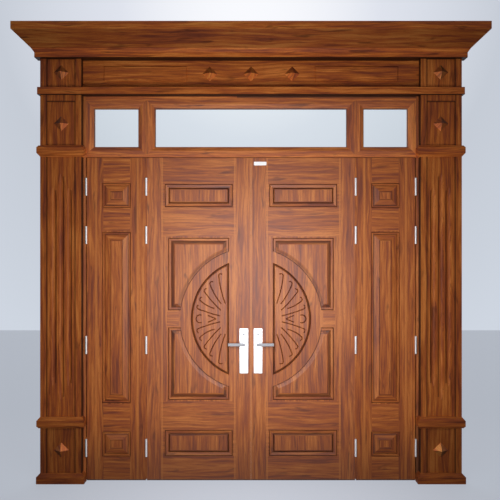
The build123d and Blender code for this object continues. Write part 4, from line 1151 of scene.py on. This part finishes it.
@dataclass
class Studio:
    """Floor, sky, lamps and camera."""

    camera_at: Triple = (-0.007, -4.9515, 1.643)
    lens: float = 50.5
    sensor: float = 36.0
    floor_reach: Triple = (16.0, -14.0, 9.4)
    floor_colour: Colour = (0.16, 0.165, 0.18)
    floor_cloud: float = 0.94
    floor_waves: Pair = (0.8, 0.8)
    floor_roughness: float = 0.7
    floor_light: Colour = (0.80, 0.86, 0.97)
    floor_glow: Pair = (0.46, 0.60)
    floor_mirror: float = 0.45
    # Size and place of the painted pool of light on the floor.
    pool_half: Pair = (1.9, 1.6)
    pool_depth: float = -0.6
    lamp_at: Triple = (0.0, -1.9, 1.38)
    lamp_power: float = 154.0
    lamp_cone: float = 150.0
    lamp_size: float = 0.85
    back_at: Triple = (0.0, 3.4, 1.6)
    back_power: float = 230.0
    back_cone: float = 130.0
    side_at: Triple = (4.6, 1.3, 1.9)
    side_power: float = 110.0
    side_cone: float = 70.0
    sky: float = 0.10
    sky_colour: Colour = (0.93, 0.96, 1.0)
    sky_aim: Triple = (0.0, 0.945, 0.326)
    sky_stops: tuple[tuple[float, Colour], ...] = (
        (0.860, (0.62, 0.67, 0.75)), (0.945, (0.56, 0.60, 0.67)),
        (0.985, (0.74, 0.77, 0.85)), (1.0, (0.95, 0.96, 1.0)),
    )

    def floor(self) -> None:
        """Makes the pale floor, with a painted pool of light before the door."""
        wide, near, far = self.floor_reach
        mesh = bpy.data.meshes.new("floor")
        corners = [(-wide, near, 0), (wide, near, 0), (wide, far, 0), (-wide, far, 0)]
        mesh.from_pydata(corners, [], [(0, 1, 2, 3)])
        piece = put("floor", mesh)
        graph = Graph("pale_floor")
        across_x, depth, _ = graph.place()
        cloud = graph.streaks(across_x, depth, 0.0, self.floor_waves, detail=3.0)
        darker = tuple(v * self.floor_cloud for v in self.floor_colour)
        graph.surface("Base Color", graph.tint(cloud, self.floor_colour, darker))
        graph.surface("Roughness", self.floor_roughness)
        path = graph.add("ShaderNodeLightPath").outputs
        seen = graph.calc("MAXIMUM", path["Is Camera Ray"], path["Is Transmission Ray"])
        seen = graph.calc("MAXIMUM", seen, graph.calc("MULTIPLY", path["Is Glossy Ray"], self.floor_mirror))
        # Painted pool of light: the floor glows brighter before the door.
        painted_pool = graph.both(graph.soft_band(across_x, 0.0, self.pool_half[0]),
                          graph.soft_band(depth, self.pool_depth, self.pool_half[1]))
        graph.surface("Emission Strength", graph.both(seen, graph.rub(painted_pool, *self.floor_glow)))
        graph.surface("Emission Color", (*self.floor_light, 1.0))
        mesh.materials.append(graph.material)

    def world(self) -> None:
        """Makes the pale sky that the camera, steel and glass see, and weak light for the rest."""
        world = bpy.data.worlds.new("studio")
        bpy.context.scene.world = world
        world.use_nodes = True
        nodes = Nodes(world.node_tree)
        aim = nodes.add("ShaderNodeVectorMath", operation="DOT_PRODUCT")
        nodes.link(nodes.add("ShaderNodeTexCoord").outputs["Generated"], aim.inputs[0])
        aim.inputs[1].default_value = self.sky_aim
        seen = nodes.add("ShaderNodeBackground")
        nodes.link(nodes.ramp(aim.outputs["Value"], self.sky_stops), seen.inputs[0])
        lit = nodes.add("ShaderNodeBackground")
        lit.inputs[0].default_value = (*self.sky_colour, 1.0)
        lit.inputs[1].default_value = self.sky
        path = nodes.add("ShaderNodeLightPath").outputs
        mask = nodes.calc("MAXIMUM", path["Is Camera Ray"], path["Is Glossy Ray"])
        mask = nodes.calc("MAXIMUM", mask, path["Is Transmission Ray"])
        mix = nodes.add("ShaderNodeMixShader")
        for end, value in zip(mix.inputs, (mask, lit.outputs[0], seen.outputs[0])):
            nodes.link(value, end)
        nodes.link(mix.outputs[0], nodes.add("ShaderNodeOutputWorld").inputs[0])

    def lamp(self, name: str, at: Triple, power: float, turn: float, cone: float,
             mirrored: bool = False) -> None:
        """Hangs one soft lamp.

        Args:
            name: Name of the lamp.
            at: Where it hangs.
            power: Its power in watts.
            turn: Turn about the upright axis, in degrees; 0 shines along +Y.
            cone: Width of its cone, in degrees.
            mirrored: Whether gloss shows it.
        """
        data = bpy.data.lights.new(name, "SPOT")
        data.energy = power
        data.spot_size = math.radians(cone)
        data.spot_blend = 1.0
        data.shadow_soft_size = self.lamp_size
        lamp = put(name, data)
        lamp.location = at
        lamp.rotation_euler = (math.radians(90.0), 0.0, math.radians(turn))
        lamp.visible_camera = False
        lamp.visible_transmission = False
        lamp.visible_glossy = mirrored

    def lamps(self) -> None:
        """Hangs the soft lamp before the door, and weaker ones that show its sides and back."""
        self.lamp("soft_lamp", self.lamp_at, self.lamp_power, 0.0, self.lamp_cone, mirrored=True)
        self.lamp("back_lamp", self.back_at, self.back_power, 180.0, self.back_cone)
        for side in Side:
            at = (side.value * self.side_at[0], *self.side_at[1:])
            self.lamp(f"{side.word}_lamp", at, self.side_power, side.value * 90.0, self.side_cone)

    def camera(self) -> None:
        """Sets the camera where the photograph was taken."""
        data = bpy.data.cameras.new("camera")
        data.lens = self.lens
        data.sensor_width = self.sensor
        eye = put("camera", data)
        eye.location = self.camera_at
        eye.rotation_euler = (math.radians(90.0), 0.0, 0.0)
        bpy.context.scene.camera = eye

    def build(self) -> None:
        """Makes the whole studio."""
        bpy.context.scene.view_settings.view_transform = "Standard"
        self.floor()
        self.world()
        self.lamps()
        self.camera()


def main() -> None:
    """Builds and dresses the sub-assemblies in order."""
    logging.basicConfig(level=logging.INFO, format="%(message)s")
    wood = WoodPrint()
    for side in Side:
        MainLeaf(side, wood).dress()
        SideLeaf(side, wood).dress()
    DoorFrame(wood).dress()
    Surround(wood).dress()
    Fittings().dress()
    BarePlate().build()
    brown = BROWN_RUBBER.material()
    for side in Side:
        GapLips(side).build()
        LeafSeals(side, "main", MAIN_SPAN, meeting=True).build(brown)
        LeafSeals(side, "side", SIDE_SPAN, meeting=False).build(brown)
    Studio().build()


if __name__ == "__main__":
    main()
